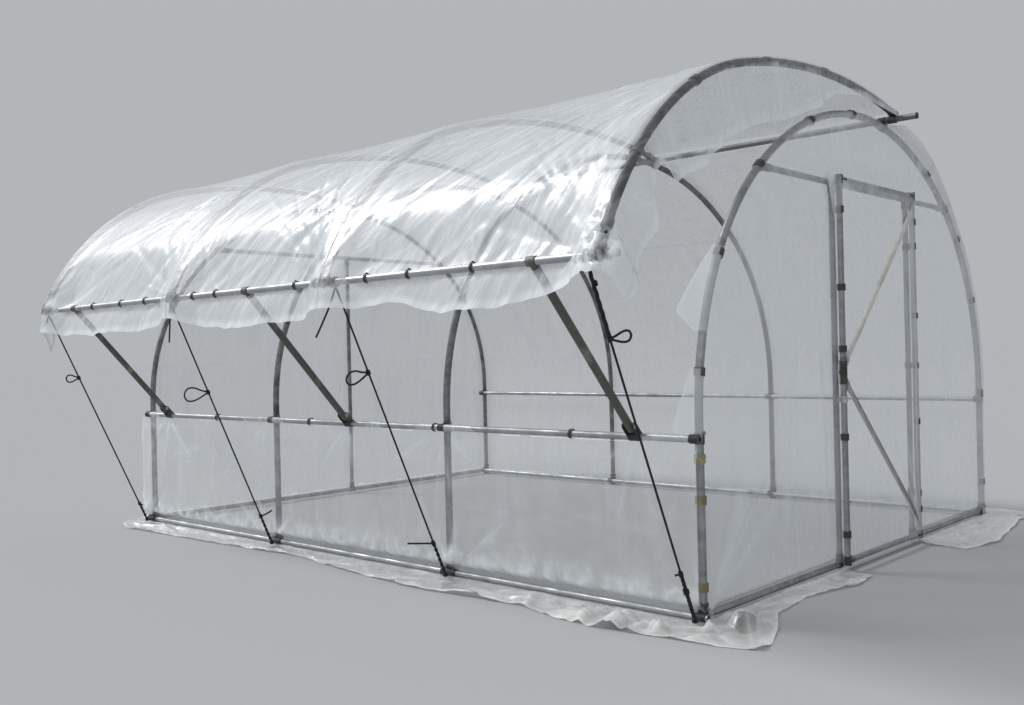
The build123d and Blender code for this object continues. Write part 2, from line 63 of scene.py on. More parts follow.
# Where the tunnel's own middle lies in the frame's Y, and its main lines in metres
MIDDLE = sum(corner.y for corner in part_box("hoop_1")) / 2
HOOPS = (2.0, 0.66667, -0.66667, -2.0)
ARCS = (2.05, 0.61667, -0.61667, -2.05)
STRUTS = (1.735, 0.0, -1.735)
HALF_WIDTH = 1.5
LEG = 0.76
INSET = 0.27
TURN = math.radians(51.1)
HAUNCH = HALF_WIDTH - INSET
CROWN = HAUNCH + INSET / math.cos(TURN)
CROWN_TURN = math.radians(90) - TURN
CROWN_CENTRE = LEG - (CROWN - HAUNCH) * math.sin(TURN)
SMALL_TUBE = 0.0135
FILM_SEAT = 0.0218
EAVE = (-2.10441, 1.32143)
EAVE_TUBE = 0.0145
RAIL = (-1.5298, 0.68)
BACK_RAIL = 1.4702
BASE_HEIGHT = 0.03
FOOT = 0.004
BOOT = (2.165, -1.49)
BOLT_FACE = 0.0203
DOOR_FACE = 0.0178
FLAP_SEAT = (0.22398, 2.13224)
RISE = math.radians(11.2)
FLAP_BENDS = ((3.383, math.radians(24.6)), (1.332, math.radians(53.4)))
FLAP_TAIL = 0.04
EAVE_TAIL = 0.014
EAVE_CLIPS = (1.452, 1.108, 0.858, 0.523, 0.382, -0.25, -0.45, -0.92, -1.18, -1.5)
EYES = (0.02, 0.06, 0.06, 0.06)
EYE_Y = -1.5873
ROPE_TOPS = (-0.029, -0.014, -0.010, -0.085)
DOOR_X = 2.0458
LATCH_STILE = -0.384
HINGE_STILE = 0.44
DOOR_BOTTOM = 0.04
DOOR_TOP = 1.762
LATCH_POST = -0.365
HINGE_POST = 0.4695
BAR_HEIGHT = 1.74
GABLE_X = 2.0218


def place(x, y, z):
    """Point of the frame from the tunnel's own measures."""
    return Vector((x, y + MIDDLE, z))


class Route:
    """A line across the tunnel made of straight runs and bends, measured along its length."""

    def __init__(self, start, heading, pieces, side):
        self.pieces = []
        self.side = side
        y, z = start
        travelled = 0.0
        for length, turn in pieces:
            rate = turn / length
            self.pieces.append((travelled, y, z, heading, rate))
            step_y, step_z = self.step(heading, rate, np.array([length]))
            y += float(step_y[0])
            z += float(step_z[0])
            heading += turn
            travelled += length
        self.length = travelled

    @staticmethod
    def step(heading, rate, amount):
        """Way covered along a run, or along a bend where the heading turns."""
        if abs(rate) < 1e-9:
            return np.cos(heading) * amount, np.sin(heading) * amount
        turned = heading + rate * amount
        return (np.sin(turned) - np.sin(heading)) / rate, (np.cos(heading) - np.cos(turned)) / rate

    def at(self, distance, lift):
        """Places at distances along the line, lifted off it, and the outward directions."""
        distance = np.asarray(distance, float)
        y = np.zeros_like(distance)
        z = np.zeros_like(distance)
        out_y = np.zeros_like(distance)
        out_z = np.zeros_like(distance)
        for number, (begin, y0, z0, heading, rate) in enumerate(self.pieces):
            here = distance >= begin if number else np.ones_like(distance, bool)
            amount = distance[here] - begin
            step_y, step_z = self.step(heading, rate, amount)
            y[here] = y0 + step_y
            z[here] = z0 + step_z
            out_y[here] = -self.side * np.sin(heading + rate * amount)
            out_z[here] = self.side * np.cos(heading + rate * amount)
        return y + out_y * lift, z + out_z * lift, out_y, out_z

    def spot(self, distance):
        """One place along the line and its outward direction, as plain numbers."""
        return [float(part) for part in self.at(distance, 0.0)]

    def nearest(self, y, z):
        """Distance along the line to its place nearest to a point."""
        steps = np.linspace(0, self.length, 2000)
        line_y, line_z, _, _ = self.at(steps, 0.0)
        return steps[np.argmin(np.hypot(line_y - y, line_z - z))]


HOOP_LINE = Route(
    (-HALF_WIDTH, 0),
    math.radians(90),
    (
        (LEG, 0), (HAUNCH * TURN, -TURN), (CROWN * 2 * CROWN_TURN, -2 * CROWN_TURN), (HAUNCH * TURN, -TURN),
        (LEG, 0),
    ),
    1,
)
FLAP_LINE = Route(
    (FLAP_SEAT[0] + FLAP_TAIL * math.cos(RISE), FLAP_SEAT[1] - FLAP_TAIL * math.sin(RISE)),
    math.radians(180) - RISE,
    ((FLAP_TAIL, 0), *((radius * turn, turn) for radius, turn in FLAP_BENDS), (EAVE_TAIL, 0)),
    -1,
)
ARC_LENGTH = FLAP_TAIL + sum(radius * turn for radius, turn in FLAP_BENDS)
EAVE_AT = ARC_LENGTH + EAVE_TAIL


def soft_step(low, high, value):
    """0 below low, 1 above high and a smooth rise between them."""
    share = np.clip((value - low) / (high - low), 0, 1)
    return share * share * (3 - 2 * share)


def crumple(a, b, size, shift, octaves=3):
    """Sharp-edged crumple of about 0 to 1 over a sheet's own measures."""
    flat = zip(np.ravel(a) / size, np.ravel(b) / size)
    values = [noise.ridged_multi_fractal((p, q, shift), 1.0, 2.1, octaves, 1.0, 2.0) for p, q in flat]
    return (np.array(values).reshape(np.shape(a)) - 0.6) * 0.5


def noise_line(spots, scale, shift):
    """Smooth random values of about -1 to 1 along a line."""
    return np.array([noise.noise((spot * scale, shift, 0.5)) for spot in spots])


def folds(a, b, lines):
    """Height of many folds; each line is its start, its end, its rise and its width."""
    height = np.zeros_like(a)
    for a0, b0, a1, b1, rise, width in lines:
        run = math.hypot(a1 - a0, b1 - b0)
        way_a, way_b = (a1 - a0) / run, (b1 - b0) / run
        ahead = (a - a0) * way_a + (b - b0) * way_b
        aside = (a - a0) * way_b - (b - b0) * way_a
        fade = soft_step(0, 0.12 * run, ahead) * (1 - soft_step(0.55 * run, run, ahead))
        height += rise * fade * np.exp(-np.sqrt((aside / width) ** 2 + 0.05))
    return height


def fan(draw, centre, count, angles, reach, rise, width):
    """Fold lines that fan out from one pull point of a sheet."""
    lines = []
    for _ in range(count):
        angle = math.radians(draw.uniform(*angles))
        run = draw.uniform(*reach)
        end = (centre[0] + run * math.cos(angle), centre[1] + run * math.sin(angle))
        height = draw.uniform(0.4, 1) * rise * draw.choice((-1, 1))
        lines.append((*centre, *end, height, draw.uniform(*width)))
    return lines


def scatter(draw, count, area, angle, spread, reach, rise, width):
    """Fold lines scattered over an area, about in one direction."""
    lines = []
    for _ in range(count):
        a = draw.uniform(area[0], area[1])
        b = draw.uniform(area[2], area[3])
        turn = math.radians(draw.normal(angle, spread))
        run = draw.uniform(*reach)
        end = (a + run * math.cos(turn), b + run * math.sin(turn))
        height = draw.uniform(0.3, 1) * rise * draw.choice((-1, 1))
        lines.append((a, b, *end, height, draw.uniform(*width)))
    return lines


def film_piece(name, columns, rows, lay, finish, body="frame"):
    """A finished sheet of film: a grid laid out by a function of its two shares, with its veil and pull."""
    shape = bmesh.new()
    bmesh.ops.create_grid(shape, x_segments=columns, y_segments=rows, size=0.5)
    mesh = bpy.data.meshes.new(name)
    shape.to_mesh(mesh)
    shape.free()
    corners = np.empty(len(mesh.vertices) * 3)
    mesh.vertices.foreach_get("co", corners)
    corners = corners.reshape(-1, 3)
    x, y, z, veil, *pull = lay(corners[:, 0] + 0.5, corners[:, 1] + 0.5)
    mesh.vertices.foreach_set("co", np.stack((x, y + MIDDLE, z), axis=1).ravel())
    mesh.attributes.new("veil", "FLOAT", "POINT").data.foreach_set("value", np.clip(veil, -0.5, 1))
    if pull:
        mesh.attributes.new("pull", "FLOAT_VECTOR", "POINT").data.foreach_set("vector", pull[0].ravel())
    mesh.shade_smooth()
    piece = linked(name, mesh)
    dress(piece, finish, body)
    return piece


def linked(name, mesh):
    """Object for a mesh, in the scene."""
    piece = bpy.data.objects.new(name, mesh)
    bpy.context.scene.collection.objects.link(piece)
    return piece


def solid_piece(name, shape, smooth=True):
    """Object from a finished bmesh, with its faces turned outwards."""
    bmesh.ops.remove_doubles(shape, verts=shape.verts, dist=1e-5)
    bmesh.ops.recalc_face_normals(shape, faces=shape.faces)
    mesh = bpy.data.meshes.new(name)
    shape.to_mesh(mesh)
    shape.free()
    if smooth:
        mesh.shade_smooth()
        mesh.set_sharp_from_angle(angle=math.radians(35))
    return linked(name, mesh)


def stand(spot, along, out):
    """Turn that puts a shape's Z along one direction and its X outwards, at a place."""
    z = Vector(along).normalized()
    x = Vector(out) - z * Vector(out).dot(z)
    x.normalize()
    y = z.cross(x)
    turn = Matrix((x, y, z)).transposed().to_4x4()
    return Matrix.Translation(spot) @ turn


def add_clip(shape, spot, along, out, radius, length, gap):
    """Open sleeve that snaps over a film and its tube."""
    wall = 0.0022
    arc = math.radians(360 - gap)
    outer, half = radius + wall, length / 2
    profile = ((radius, -half), (outer, -half), (outer, half), (radius, half))
    corners = [shape.verts.new((r, 0, z)) for r, z in profile]
    face = shape.faces.new(corners)
    start = Matrix.Rotation(-arc / 2, 3, "Z")
    bmesh.ops.rotate(shape, verts=corners, cent=(0, 0, 0), matrix=start)
    made = bmesh.ops.spin(
        shape, geom=[face, *face.edges, *face.verts], cent=(0, 0, 0), axis=(0, 0, 1), angle=arc, steps=14
    )
    ends = {vert for vert in made["geom_last"] if isinstance(vert, bmesh.types.BMVert)}
    grown = connected(corners[0])
    bmesh.ops.transform(shape, matrix=stand(spot, along, out), verts=list(grown | ends))


def connected(seed):
    """All corners joined to one corner by edges."""
    found = {seed}
    edge_of = [seed]
    while edge_of:
        for edge in edge_of.pop().link_edges:
            for vert in edge.verts:
                if vert not in found:
                    found.add(vert)
                    edge_of.append(vert)
    return found


def add_cone(shape, where, sides, low, high, depth):
    """Capped cone or cylinder at a place, with the radius of each end."""
    bmesh.ops.create_cone(
        shape, cap_ends=True, segments=sides, radius1=low, radius2=high, depth=depth, matrix=where
    )


def add_bolt(shape, spot, along, size=0.006, reach=0.0):
    """Hexagon head on a washer; with a reach, a shank and a nut on the far side too."""
    turn = stand(spot, along, (0.3, 0.5, 0.8) if abs(Vector(along).normalized().z) < 0.9 else (1, 0, 0))
    rows = [(16, 1.5, 1.5, size * 0.2, size * 0.1), (6, 1.0, 0.92, size * 0.75, size * 0.55)]
    if reach:
        rows += [
            (12, 0.5, 0.5, reach, -reach / 2), (6, 1.0, 1.0, size * 0.7, -reach - size * 0.3),
            (12, 0.5, 0.5, size, -reach - size * 0.8),
        ]
    for sides, low, high, depth, lift in rows:
        add_cone(shape, turn @ Matrix.Translation((0, 0, lift)), sides, size * low, size * high, depth)


class Value:
    """A number in a shader; sums and products of it add their own Math nodes."""

    def __init__(self, nodes, socket):
        self.nodes = nodes
        self.socket = socket

    def maths(self, operation, *terms):
        """A Math node on this value and others."""
        return self.nodes.node("ShaderNodeMath", {"operation": operation}, dict(enumerate(terms)))

    def __add__(self, other):
        return self.maths("ADD", self, other)

    def __sub__(self, other):
        return self.maths("SUBTRACT", self, other)

    def __rsub__(self, other):
        return self.maths("SUBTRACT", other, self)

    def __mul__(self, other):
        return self.maths("MULTIPLY", self, other)

    def __pow__(self, other):
        return self.maths("POWER", self, other)

    def __abs__(self):
        return self.maths("ABSOLUTE", self)

    def limit(self, low=0.0, high=1.0):
        """The value kept between two numbers."""
        return self.maths("MINIMUM", self.maths("MAXIMUM", self, low), high)

    __radd__ = __add__
    __rmul__ = __mul__


class Nodes:
    """The nodes of a world or a material."""

    def __init__(self, tree):
        self.tree = tree

    def node(self, kind, settings=None, inputs=None, output=0):
        """Any node: its settings first, then the values or links of its sockets."""
        made = self.tree.nodes.new(kind)
        for name, value in (settings or {}).items():
            setattr(made, name, value)
        self.feed(made, inputs or {})
        return Value(self, made.outputs[output])

    def feed(self, made, inputs):
        """Link or set a node's sockets."""
        for name, value in inputs.items():
            if isinstance(value, Value):
                self.tree.links.new(value.socket, made.inputs[name])
            else:
                made.inputs[name].default_value = value

    def show(self, value, end):
        """Make a shader what the world or the material shows."""
        self.tree.links.new(value.socket, self.tree.nodes[end].inputs["Surface"])


class Paint(Nodes):
    """One material, built node by node on its Principled surface."""

    def __init__(self, name, metallic=0.0):
        self.material = bpy.data.materials.new(name)
        self.material.use_nodes = True
        super().__init__(self.material.node_tree)
        self.surface = self.tree.nodes["Principled BSDF"]
        self.surface.inputs["Metallic"].default_value = metallic
        self.spot = self.node("ShaderNodeTexCoord", output="Object")

    def stretch(self, scale):
        """Object coordinates scaled differently along each axis."""
        return self.node("ShaderNodeMapping", None, {"Vector": self.spot, "Scale": scale})

    def grain(self, scale, detail=3.0, distortion=0.0, spot=None):
        """Soft noise."""
        inputs = {"Vector": spot or self.spot, "Scale": scale, "Detail": detail, "Distortion": distortion}
        return self.node("ShaderNodeTexNoise", None, inputs)

    def cells(self, scale):
        """Small flat spangles."""
        return self.node("ShaderNodeTexVoronoi", None, {"Vector": self.spot, "Scale": scale}, "Color")

    def blend(self, share, first, second):
        """One colour over another by a share."""
        colours = {0: share, 6: first, 7: second}
        return self.node("ShaderNodeMix", {"data_type": "RGBA"}, colours, 2)

    def bump(self, height, strength, distance):
        """Relief for a Normal socket."""
        inputs = {"Height": height, "Strength": strength, "Distance": distance}
        return self.node("ShaderNodeBump", None, inputs)

    def finish(self, **looks):
        """Link or set the surface's sockets, such as Base_Color, and give the material."""
        self.feed(self.surface, {name.replace("_", " "): value for name, value in looks.items()})
        return self.material


def colour4(colour, factor=1.0):
    """Colour with its alpha, made darker or lighter by a factor."""
    return (*(min(1.0, part * factor) for part in colour), 1)


def galvanised(name, colour, dull, stain, shade_below=-1.0):
    """Zinc-coated tube: small spangles, long stains, a few rust freckles, and painted shade below a height.
    """
    paint = Paint(name, metallic=0.85)
    spangle = paint.cells(190)
    cloud = paint.grain(9, 4)
    streak = paint.grain(26, 3, 0.4, paint.stretch((0.25, 1, 1)))
    dirt = (streak * cloud * 3.2 - 0.45).limit()
    freckle = (paint.grain(70, 2) - 0.68).limit() * 6
    clean = paint.blend(spangle, colour4(colour, 0.86), colour4(colour, 1.1))
    stained = paint.blend(dirt * stain, clean, colour4(colour, 0.4))
    rusty_and_shaded = paint.blend((freckle * stain).limit(), stained, (0.16, 0.07, 0.03, 1))
    level = paint.node("ShaderNodeSeparateXYZ", None, {"Vector": paint.spot}, 2)
    # painted shade: below the height the colour becomes a darker copy of itself
    rusty_and_shaded = paint.blend((shade_below - level).limit(0, 0.01) * 100, rusty_and_shaded, colour4(colour, 0.3))
    height = paint.grain(240, 2) * 0.4 + spangle * 0.3 + cloud
    return paint.finish(
        Base_Color=rusty_and_shaded,
        Roughness=(dull + cloud * 0.22 + dirt * 0.25).limit(),
        Normal=paint.bump(height, 0.12, 0.0012),
    )


def weathered(name, colour, patch, dull=0.45, metallic=0.3):
    """Dark painted steel with worn, paler patches."""
    paint = Paint(name, metallic=metallic)
    cloud = paint.grain(14, 5)
    fine = paint.grain(120, 3)
    wear = ((cloud + fine * 0.4 - 0.72) * 4).limit()
    tone = paint.blend(wear, colour4(colour), colour4(patch))
    height = fine + cloud * 0.6
    return paint.finish(
        Base_Color=tone,
        Roughness=(dull + cloud * 0.2 - wear * 0.12).limit(),
        Normal=paint.bump(height, 0.25, 0.001),
    )


def clear_film(name, haze, rough, tint, grain_turn, dirt, relief):
    """Thin clear film: a light haze with pulled streaks, and gloss over it that stays where it is clear."""
    paint = Paint(name)
    veil = paint.node("ShaderNodeAttribute", {"attribute_name": "veil"}, output="Fac")
    if grain_turn:
        pull = paint.stretch(grain_turn)
    else:
        pull = paint.node("ShaderNodeAttribute", {"attribute_name": "pull"}, output="Vector")
    wide = paint.grain(1.6, 3, 0.4)
    pulled = paint.grain(11, 4, 0.3, pull)
    thread = 1 - abs(paint.grain(6, 3, 0.5, pull) * 2 - 1)
    streak = ((thread ** 18) * 0.20 + (pulled - 0.5) * 0.40) * (relief / 0.6)
    edge_on = paint.node("ShaderNodeLayerWeight", None, {"Blend": 0.3}, 1)
    soil = ((paint.grain(7, 5) + paint.grain(95, 2) * 0.25 - 0.72) * 3).limit() * dirt
    tone = paint.blend(soil, colour4(tint), (0.30, 0.27, 0.19, 1))
    height = pulled * 0.5 + thread * 0.25 + wide
    normal = paint.bump(height, relief, 0.006)
    roughness = (rough + pulled * 0.12 + soil * 0.4).limit()
    cover = (veil + streak + wide * 0.06 + edge_on * 0.22 + (haze - 0.12) + soil * 0.4).limit(0.02, 0.94)
    turned = paint.node("ShaderNodeLayerWeight", None, {"Blend": 0.5, "Normal": normal}, 1)
    milk = {"Base Color": tone, "Roughness": (roughness + 0.2).limit(), "Alpha": cover, "Normal": normal}
    milk = paint.node("ShaderNodeBsdfPrincipled", None, milk)
    paint.finish(Base_Color=(0.97, 0.98, 1, 1), Metallic=1.0, Roughness=roughness, Normal=normal)
    gloss = Value(paint, paint.surface.outputs[0])
    share = ((turned ** 5) * 0.9 + 0.045).limit(0, 0.6)
    paint.show(paint.node("ShaderNodeMixShader", None, {0: share, 1: milk, 2: gloss}), "Material Output")
    return paint.material


def braided(name, colour):
    """Black cord with a fine diagonal braid."""
    paint = Paint(name)
    bands = {"wave_type": "BANDS", "bands_direction": "DIAGONAL"}
    left, right = (
        paint.node("ShaderNodeTexWave", bands, {"Vector": spot, "Scale": 150.0, "Distortion": 1.0}, 1)
        for spot in (paint.spot, paint.stretch((-1, 1, 1)))
    )
    weave = left * right
    fuzz = paint.grain(400, 2)
    tone = paint.blend(weave * fuzz, colour4(colour, 0.6), colour4(colour, 2.6))
    relief = paint.bump(weave + fuzz * 0.3, 0.6, 0.0015)
    return paint.finish(Base_Color=tone, Roughness=(0.6 + fuzz * 0.3).limit(), Normal=relief)


def moulded(name, colour, rough=0.5):
    """Dark moulded plastic with a faint grain; the same finish makes the painted shade in the open tubes'
    mouths.
    """
    paint = Paint(name)
    fine = paint.grain(300, 2)
    cloud = paint.grain(20, 3)
    tone = paint.blend(cloud, colour4(colour, 0.8), colour4(colour, 1.3))
    relief = paint.bump(fine, 0.15, 0.0005)
    return paint.finish(Base_Color=tone, Roughness=(rough + cloud * 0.2).limit(), Normal=relief)


def coat(piece, material):
    """Give a piece one material."""
    piece.data.materials.clear()
    piece.data.materials.append(material)


def dress(piece, finish, body):
    """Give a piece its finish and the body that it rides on."""
    coat(piece, FINISHES[finish])
    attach(piece, body)


def colour_choice(name, description, default):
    """Property for a colour."""
    return FloatVectorProperty(
        name=name, description=description, subtype="COLOR", default=default, min=0, max=1
    )


class FilmLook(bpy.types.PropertyGroup):
    """How the clear film looks and hangs."""

    tint: colour_choice("Tint", "Colour of the film's haze", (0.86, 0.89, 0.91))
    haze: FloatProperty(name="Haze", description="How milky the film is", default=0.17, min=0.05, max=0.9)
    fold_height: FloatProperty(
        name="Fold height", description="Rise of the pulled folds", default=0.007, min=0, max=0.03,
        unit="LENGTH",
    )
    overhang: FloatProperty(
        name="Overhang", description="Loose film beyond the end arcs", default=0.15, min=0.06, max=0.2,
        unit="LENGTH",
    )


class SteelLook(bpy.types.PropertyGroup):
    """Colours of the tubes, clamps and clips."""

    zinc: colour_choice("Zinc", "Colour of the coated tubes", (0.50, 0.515, 0.53))
    dark: colour_choice("Dark tube", "Colour of the struts", (0.095, 0.10, 0.085))
    clip: colour_choice("Clip", "Colour of the film clips", (0.045, 0.045, 0.04))


class RopeLook(bpy.types.PropertyGroup):
    """The ropes that hold the open flap down."""

    colour: colour_choice("Colour", "Colour of the rope", (0.012, 0.012, 0.013))
    radius: FloatProperty(
        name="Radius", description="Radius of the rope", default=0.0042, min=0.002, max=0.006, unit="LENGTH"
    )


class StageLook(bpy.types.PropertyGroup):
    """Floor and light."""

    floor: colour_choice("Floor", "Colour of the floor and the sky", (0.45, 0.455, 0.46))
    light: FloatProperty(name="Light", description="Strength of the lamps", default=1.0, min=0, max=4)


FINISHES = {}


class GREENHOUSE_OT_finishes(bpy.types.Operator):
    """Make the finishes and put them on the tubes and clamps"""

    bl_idname = "greenhouse.finishes"
    bl_label = "Tube Finishes"

    def execute(self, context):
        steel = context.scene.greenhouse_steel
        film = context.scene.greenhouse_film
        # the first is the zinc's own colour; the darker copies are painted shade on tubes that stand in
        # shade, and they carry more stains too
        for name, share, dull, stain in (
            ("zinc", 1.0, 0.3, 0.6), ("stained_shaded_zinc", 0.72, 0.32, 0.8), ("stained_deep_shaded_zinc", 0.56, 0.34, 1.0),
            ("stained_backlit_shaded_zinc", 0.28, 0.36, 1.0),
        ):
            FINISHES[name] = galvanised(name + "_tube", [part * share for part in steel.zinc], dull, stain)
        # the braces' beige tone, with painted shade on the lower brace below 0.88 m
        FINISHES["brace"] = galvanised("brace_tube", (0.62, 0.59, 0.50), 0.45, 0.6, 0.88)
        FINISHES["dark"] = weathered("dark_tube", steel.dark, (0.25, 0.26, 0.22))
        FINISHES["clamp"] = weathered("dark_clamp", (0.05, 0.05, 0.05), (0.2, 0.19, 0.17), 0.5, 0.5)
        FINISHES["clip"] = weathered("film_clip", steel.clip, (0.12, 0.11, 0.09), 0.5, 0.2)
        FINISHES["worn_clip"] = weathered("worn_clip", (0.20, 0.17, 0.08), (0.42, 0.38, 0.22), 0.5, 0.2)
        FINISHES["bolt"] = galvanised("bolt", (0.5, 0.49, 0.46), 0.35, 0.8)
        upright, even = (1, 1, 0.16), (1, 1, 1)
        soiled = (0.80, 0.81, 0.78)
        for name, haze, rough, tint, turn, dirt, relief in (
            ("roof", 0.22, 0.2, film.tint, None, 0.0, 0.6),
            ("wall", 0.0, 0.16, film.tint, upright, 0.1, 0.25),
            ("back", 0.10, 0.2, film.tint, upright, 0.0, 0.25),
            ("gable", 0.11, 0.18, film.tint, upright, 0.0, 0.17),
            ("ground", 0.38, 0.2, soiled, even, 0.4, 0.4),
        ):
            FINISHES[name] = clear_film(name + "_film", film.haze + haze, rough, tint, turn, dirt, relief)
        FINISHES["rope"] = braided("rope", context.scene.greenhouse_rope.colour)
        FINISHES["plastic"] = moulded("black_plastic", (0.02, 0.02, 0.022))
        # painted shade: a near-black finish for the discs that stand for the shade inside the open tubes
        FINISHES["bore"] = moulded("tube_bore", (0.015, 0.015, 0.015), 0.8)
        by_finish = {
            "zinc": ("front_rail", "back_rail", "base_tubes", "eave_tube", "door_latch"),
            # painted shade: darker copies of the zinc on the hoops and on the backlit flap arcs
            "stained_shaded_zinc": ("hoop_1", "gable_base_tubes"),
            "stained_deep_shaded_zinc": (
                "hoop_2", "hoop_3", "hoop_4", "ridge_tube", "gable_bars", "latch_post", "hinge_post",
                "far_post", "door_frame",
            ),
            "stained_backlit_shaded_zinc": ("flap_arc_1", "flap_arc_2", "flap_arc_3", "flap_arc_4"),
            "brace": ("door_braces",),
            "dark": ("strut_1", "strut_2", "strut_3"),
            "clamp": (
                "ridge_clamps", "rail_clamps", "base_clamps", "gable_clamps", "strut_saddles", "flap_hinges",
                "eave_clamps", "door_connectors", "door_hinge_brackets", "door_hinge_leaves",
            ),
            "plastic": ("ridge_plugs",),
        }
        for finish, nodes in by_finish.items():
            for node in nodes:
                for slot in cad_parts[node].material_slots:
                    slot.material = FINISHES[finish]
        return {"FINISHED"}


def bay_share(x):
    """Share of the way from one flap arc to the next, from 0 to 1, and 0 beyond the end arcs."""
    share = np.zeros_like(x)
    for right, left in zip(ARCS, ARCS[1:]):
        here = (x <= right) & (x >= left)
        share[here] = (right - x[here]) / (right - left)
    return share


class GREENHOUSE_OT_roof(bpy.types.Operator):
    """Film over the open flap, pulled behind the eave tube, with loose curtains at the end arcs"""

    bl_idname = "greenhouse.roof"
    bl_label = "Flap Film"

    def execute(self, context):
        look = context.scene.greenhouse_film
        draw = np.random.default_rng(11)
        rise = look.fold_height
        lines = []
        for arc in ARCS[:3]:
            for s in (0.7, 1.15, 1.55, 1.95, 2.3):
                lines += fan(draw, (arc, s), 9, (104, 160), (0.6, 1.9), rise, (0.006, 0.02))
            lines += fan(draw, (arc, ARC_LENGTH), 12, (-168, -100), (0.3, 1.3), rise, (0.007, 0.022))
        for arc in ARCS[1:]:
            lines += fan(draw, (arc, ARC_LENGTH), 9, (-80, -15), (0.3, 1.2), rise, (0.007, 0.022))
        for clip in EAVE_CLIPS:
            start = (clip, ARC_LENGTH + 0.03)
            lines += fan(draw, start, 4, (-130, -50), (0.15, 0.6), rise * 0.8, (0.005, 0.012))
        area = (-2.1, 2.1, 0.0, ARC_LENGTH)
        lines += scatter(draw, 40, area, 95, 14, (0.5, 1.6), rise * 0.5, (0.006, 0.016))
        # loose film at the end arcs by the way down the arc, and below the eave by the way along it
        loose_near = (
            (0, 0.02), (0.4, 0.04), (0.7, 0.08), (0.95, 0.17), (1.2, 0.22), (1.95, 0.25), (2.14, 0.22),
            (2.19, 0.11), (2.24, 0.11), (2.42, 0.20), (2.6, 0.19), (2.75, 0.15), (3, 0.05),
        )
        drops = (
            (-2.3, 0.10), (-2.0, 0.12), (-1.3, 0.105), (-0.65, 0.09), (0.0, 0.135), (0.35, 0.12),
            (0.62, 0.10), (1.0, 0.06), (1.3, 0.12), (1.6, 0.10), (1.8, 0.085), (1.95, 0.05), (2.3, 0.03),
        )
        bend = math.radians(96)
        # sag between the arcs, slow waves, pull towards the eave tube and the crush at the near corner
        sag, swell, pull_in, crush = 0.016, 0.012, 0.070, 0.055
        # how far the loose sides fall as they hang, and how far they stand out at the tube's end
        slope, stand_out = 0.55, 0.055
        # where the streaks run together, up the arc and past it
        gather_s, gather_x = 1.2, 0.35

        def lay(u, v):
            """Wrapped over the arcs to the eave tube, loose below it and at both sides."""
            # how far it runs past the end arcs and below the eave tube
            start_s = v * EAVE_AT
            loose = np.interp(start_s, *zip(*loose_near)) * look.overhang / 0.15
            loose += 0.008 * noise_line(start_s, 3.0, 3.1)
            flat = (2 * u - 1) * (ARCS[0] + loose + 0.03)
            drop = 0.02 + np.interp(flat, *zip(*drops)) + 0.016 * noise_line(flat, 3.4, 9.0)
            drop += 0.008 * noise_line(flat, 13.0, 4.0)
            s = v * (EAVE_AT + drop)
            # sag and slow waves between the arcs, drawn in towards the tube
            x = np.clip(flat, ARCS[3], ARCS[0])
            hump = np.sin(np.pi * bay_share(x))
            near_arc = np.minimum.reduce([np.abs(x - arc) for arc in ARCS])
            free = soft_step(0.03, 0.2, near_arc)
            wave = np.array([noise.noise((p * 1.7, q * 0.9, 5)) for p, q in zip(x, s)])
            from_middle = np.abs(s / ARC_LENGTH - 0.5) * 2
            lift = FILM_SEAT - sag * hump * (1 - soft_step(0.2, 0.9, from_middle))
            lift += swell * wave * hump
            near_tube = soft_step(ARC_LENGTH - 0.34, EAVE_AT - 0.03, s)
            lift -= pull_in * near_tube * free
            # folds, fine crumple and the crush
            crease = folds(x, s, lines)
            bunch = np.exp(-(((flat - ARCS[0]) / 0.1) ** 2) - ((s - ARC_LENGTH) / 0.13) ** 2)
            rumple = 0.003 * crumple(flat, s, 0.30, 2.0) * hump
            rumple += crush * crumple(flat, s, 0.05, 4.0) * bunch
            lift += np.where(free > 0.4, crease, np.maximum(crease, -0.002) * 0.6 + 0.001) + rumple
            # the strip that hangs below the eave tube
            past = np.maximum(s - EAVE_AT, 0)
            y, z, out_y, out_z = FLAP_LINE.at(np.minimum(s, EAVE_AT), lift)
            under = 1 - np.exp(-past / 0.02)
            ripple = noise_line(flat, 4.3, 7.0) + 0.5 * noise_line(flat, 12.0, 2.0)
            y -= 0.010 * under * free + past * (0.15 * ripple + 0.12)
            z -= past
            # the loose sides, round the end arc and then down in pleats
            beyond = np.abs(flat) - ARCS[0]
            side = np.sign(flat)
            around = np.clip(beyond / FILM_SEAT, 0, bend)
            hang = np.maximum(beyond - FILM_SEAT * bend, 0)
            pleat = 0.5 * np.sin(s * 13 + 1) + 0.35 * np.sin(s * 29) + 1.2 * noise_line(s, 3.0, 6.0)
            clear = hang * np.maximum(0.16 * pleat + 0.09, 0.03)
            x = np.where(beyond > 0, side * (ARCS[0] + FILM_SEAT * np.sin(around) + clear), x)
            tube_end = np.exp(-(((s - ARC_LENGTH) / 0.07) ** 2)) * soft_step(0, 0.03, hang)
            x += side * (stand_out + 0.02 * crumple(flat, s, 0.05, 8.0)) * tube_end
            inward = FILM_SEAT * (1 - np.cos(around)) + hang * slope
            y -= out_y * inward
            z -= out_z * inward + hang * slope
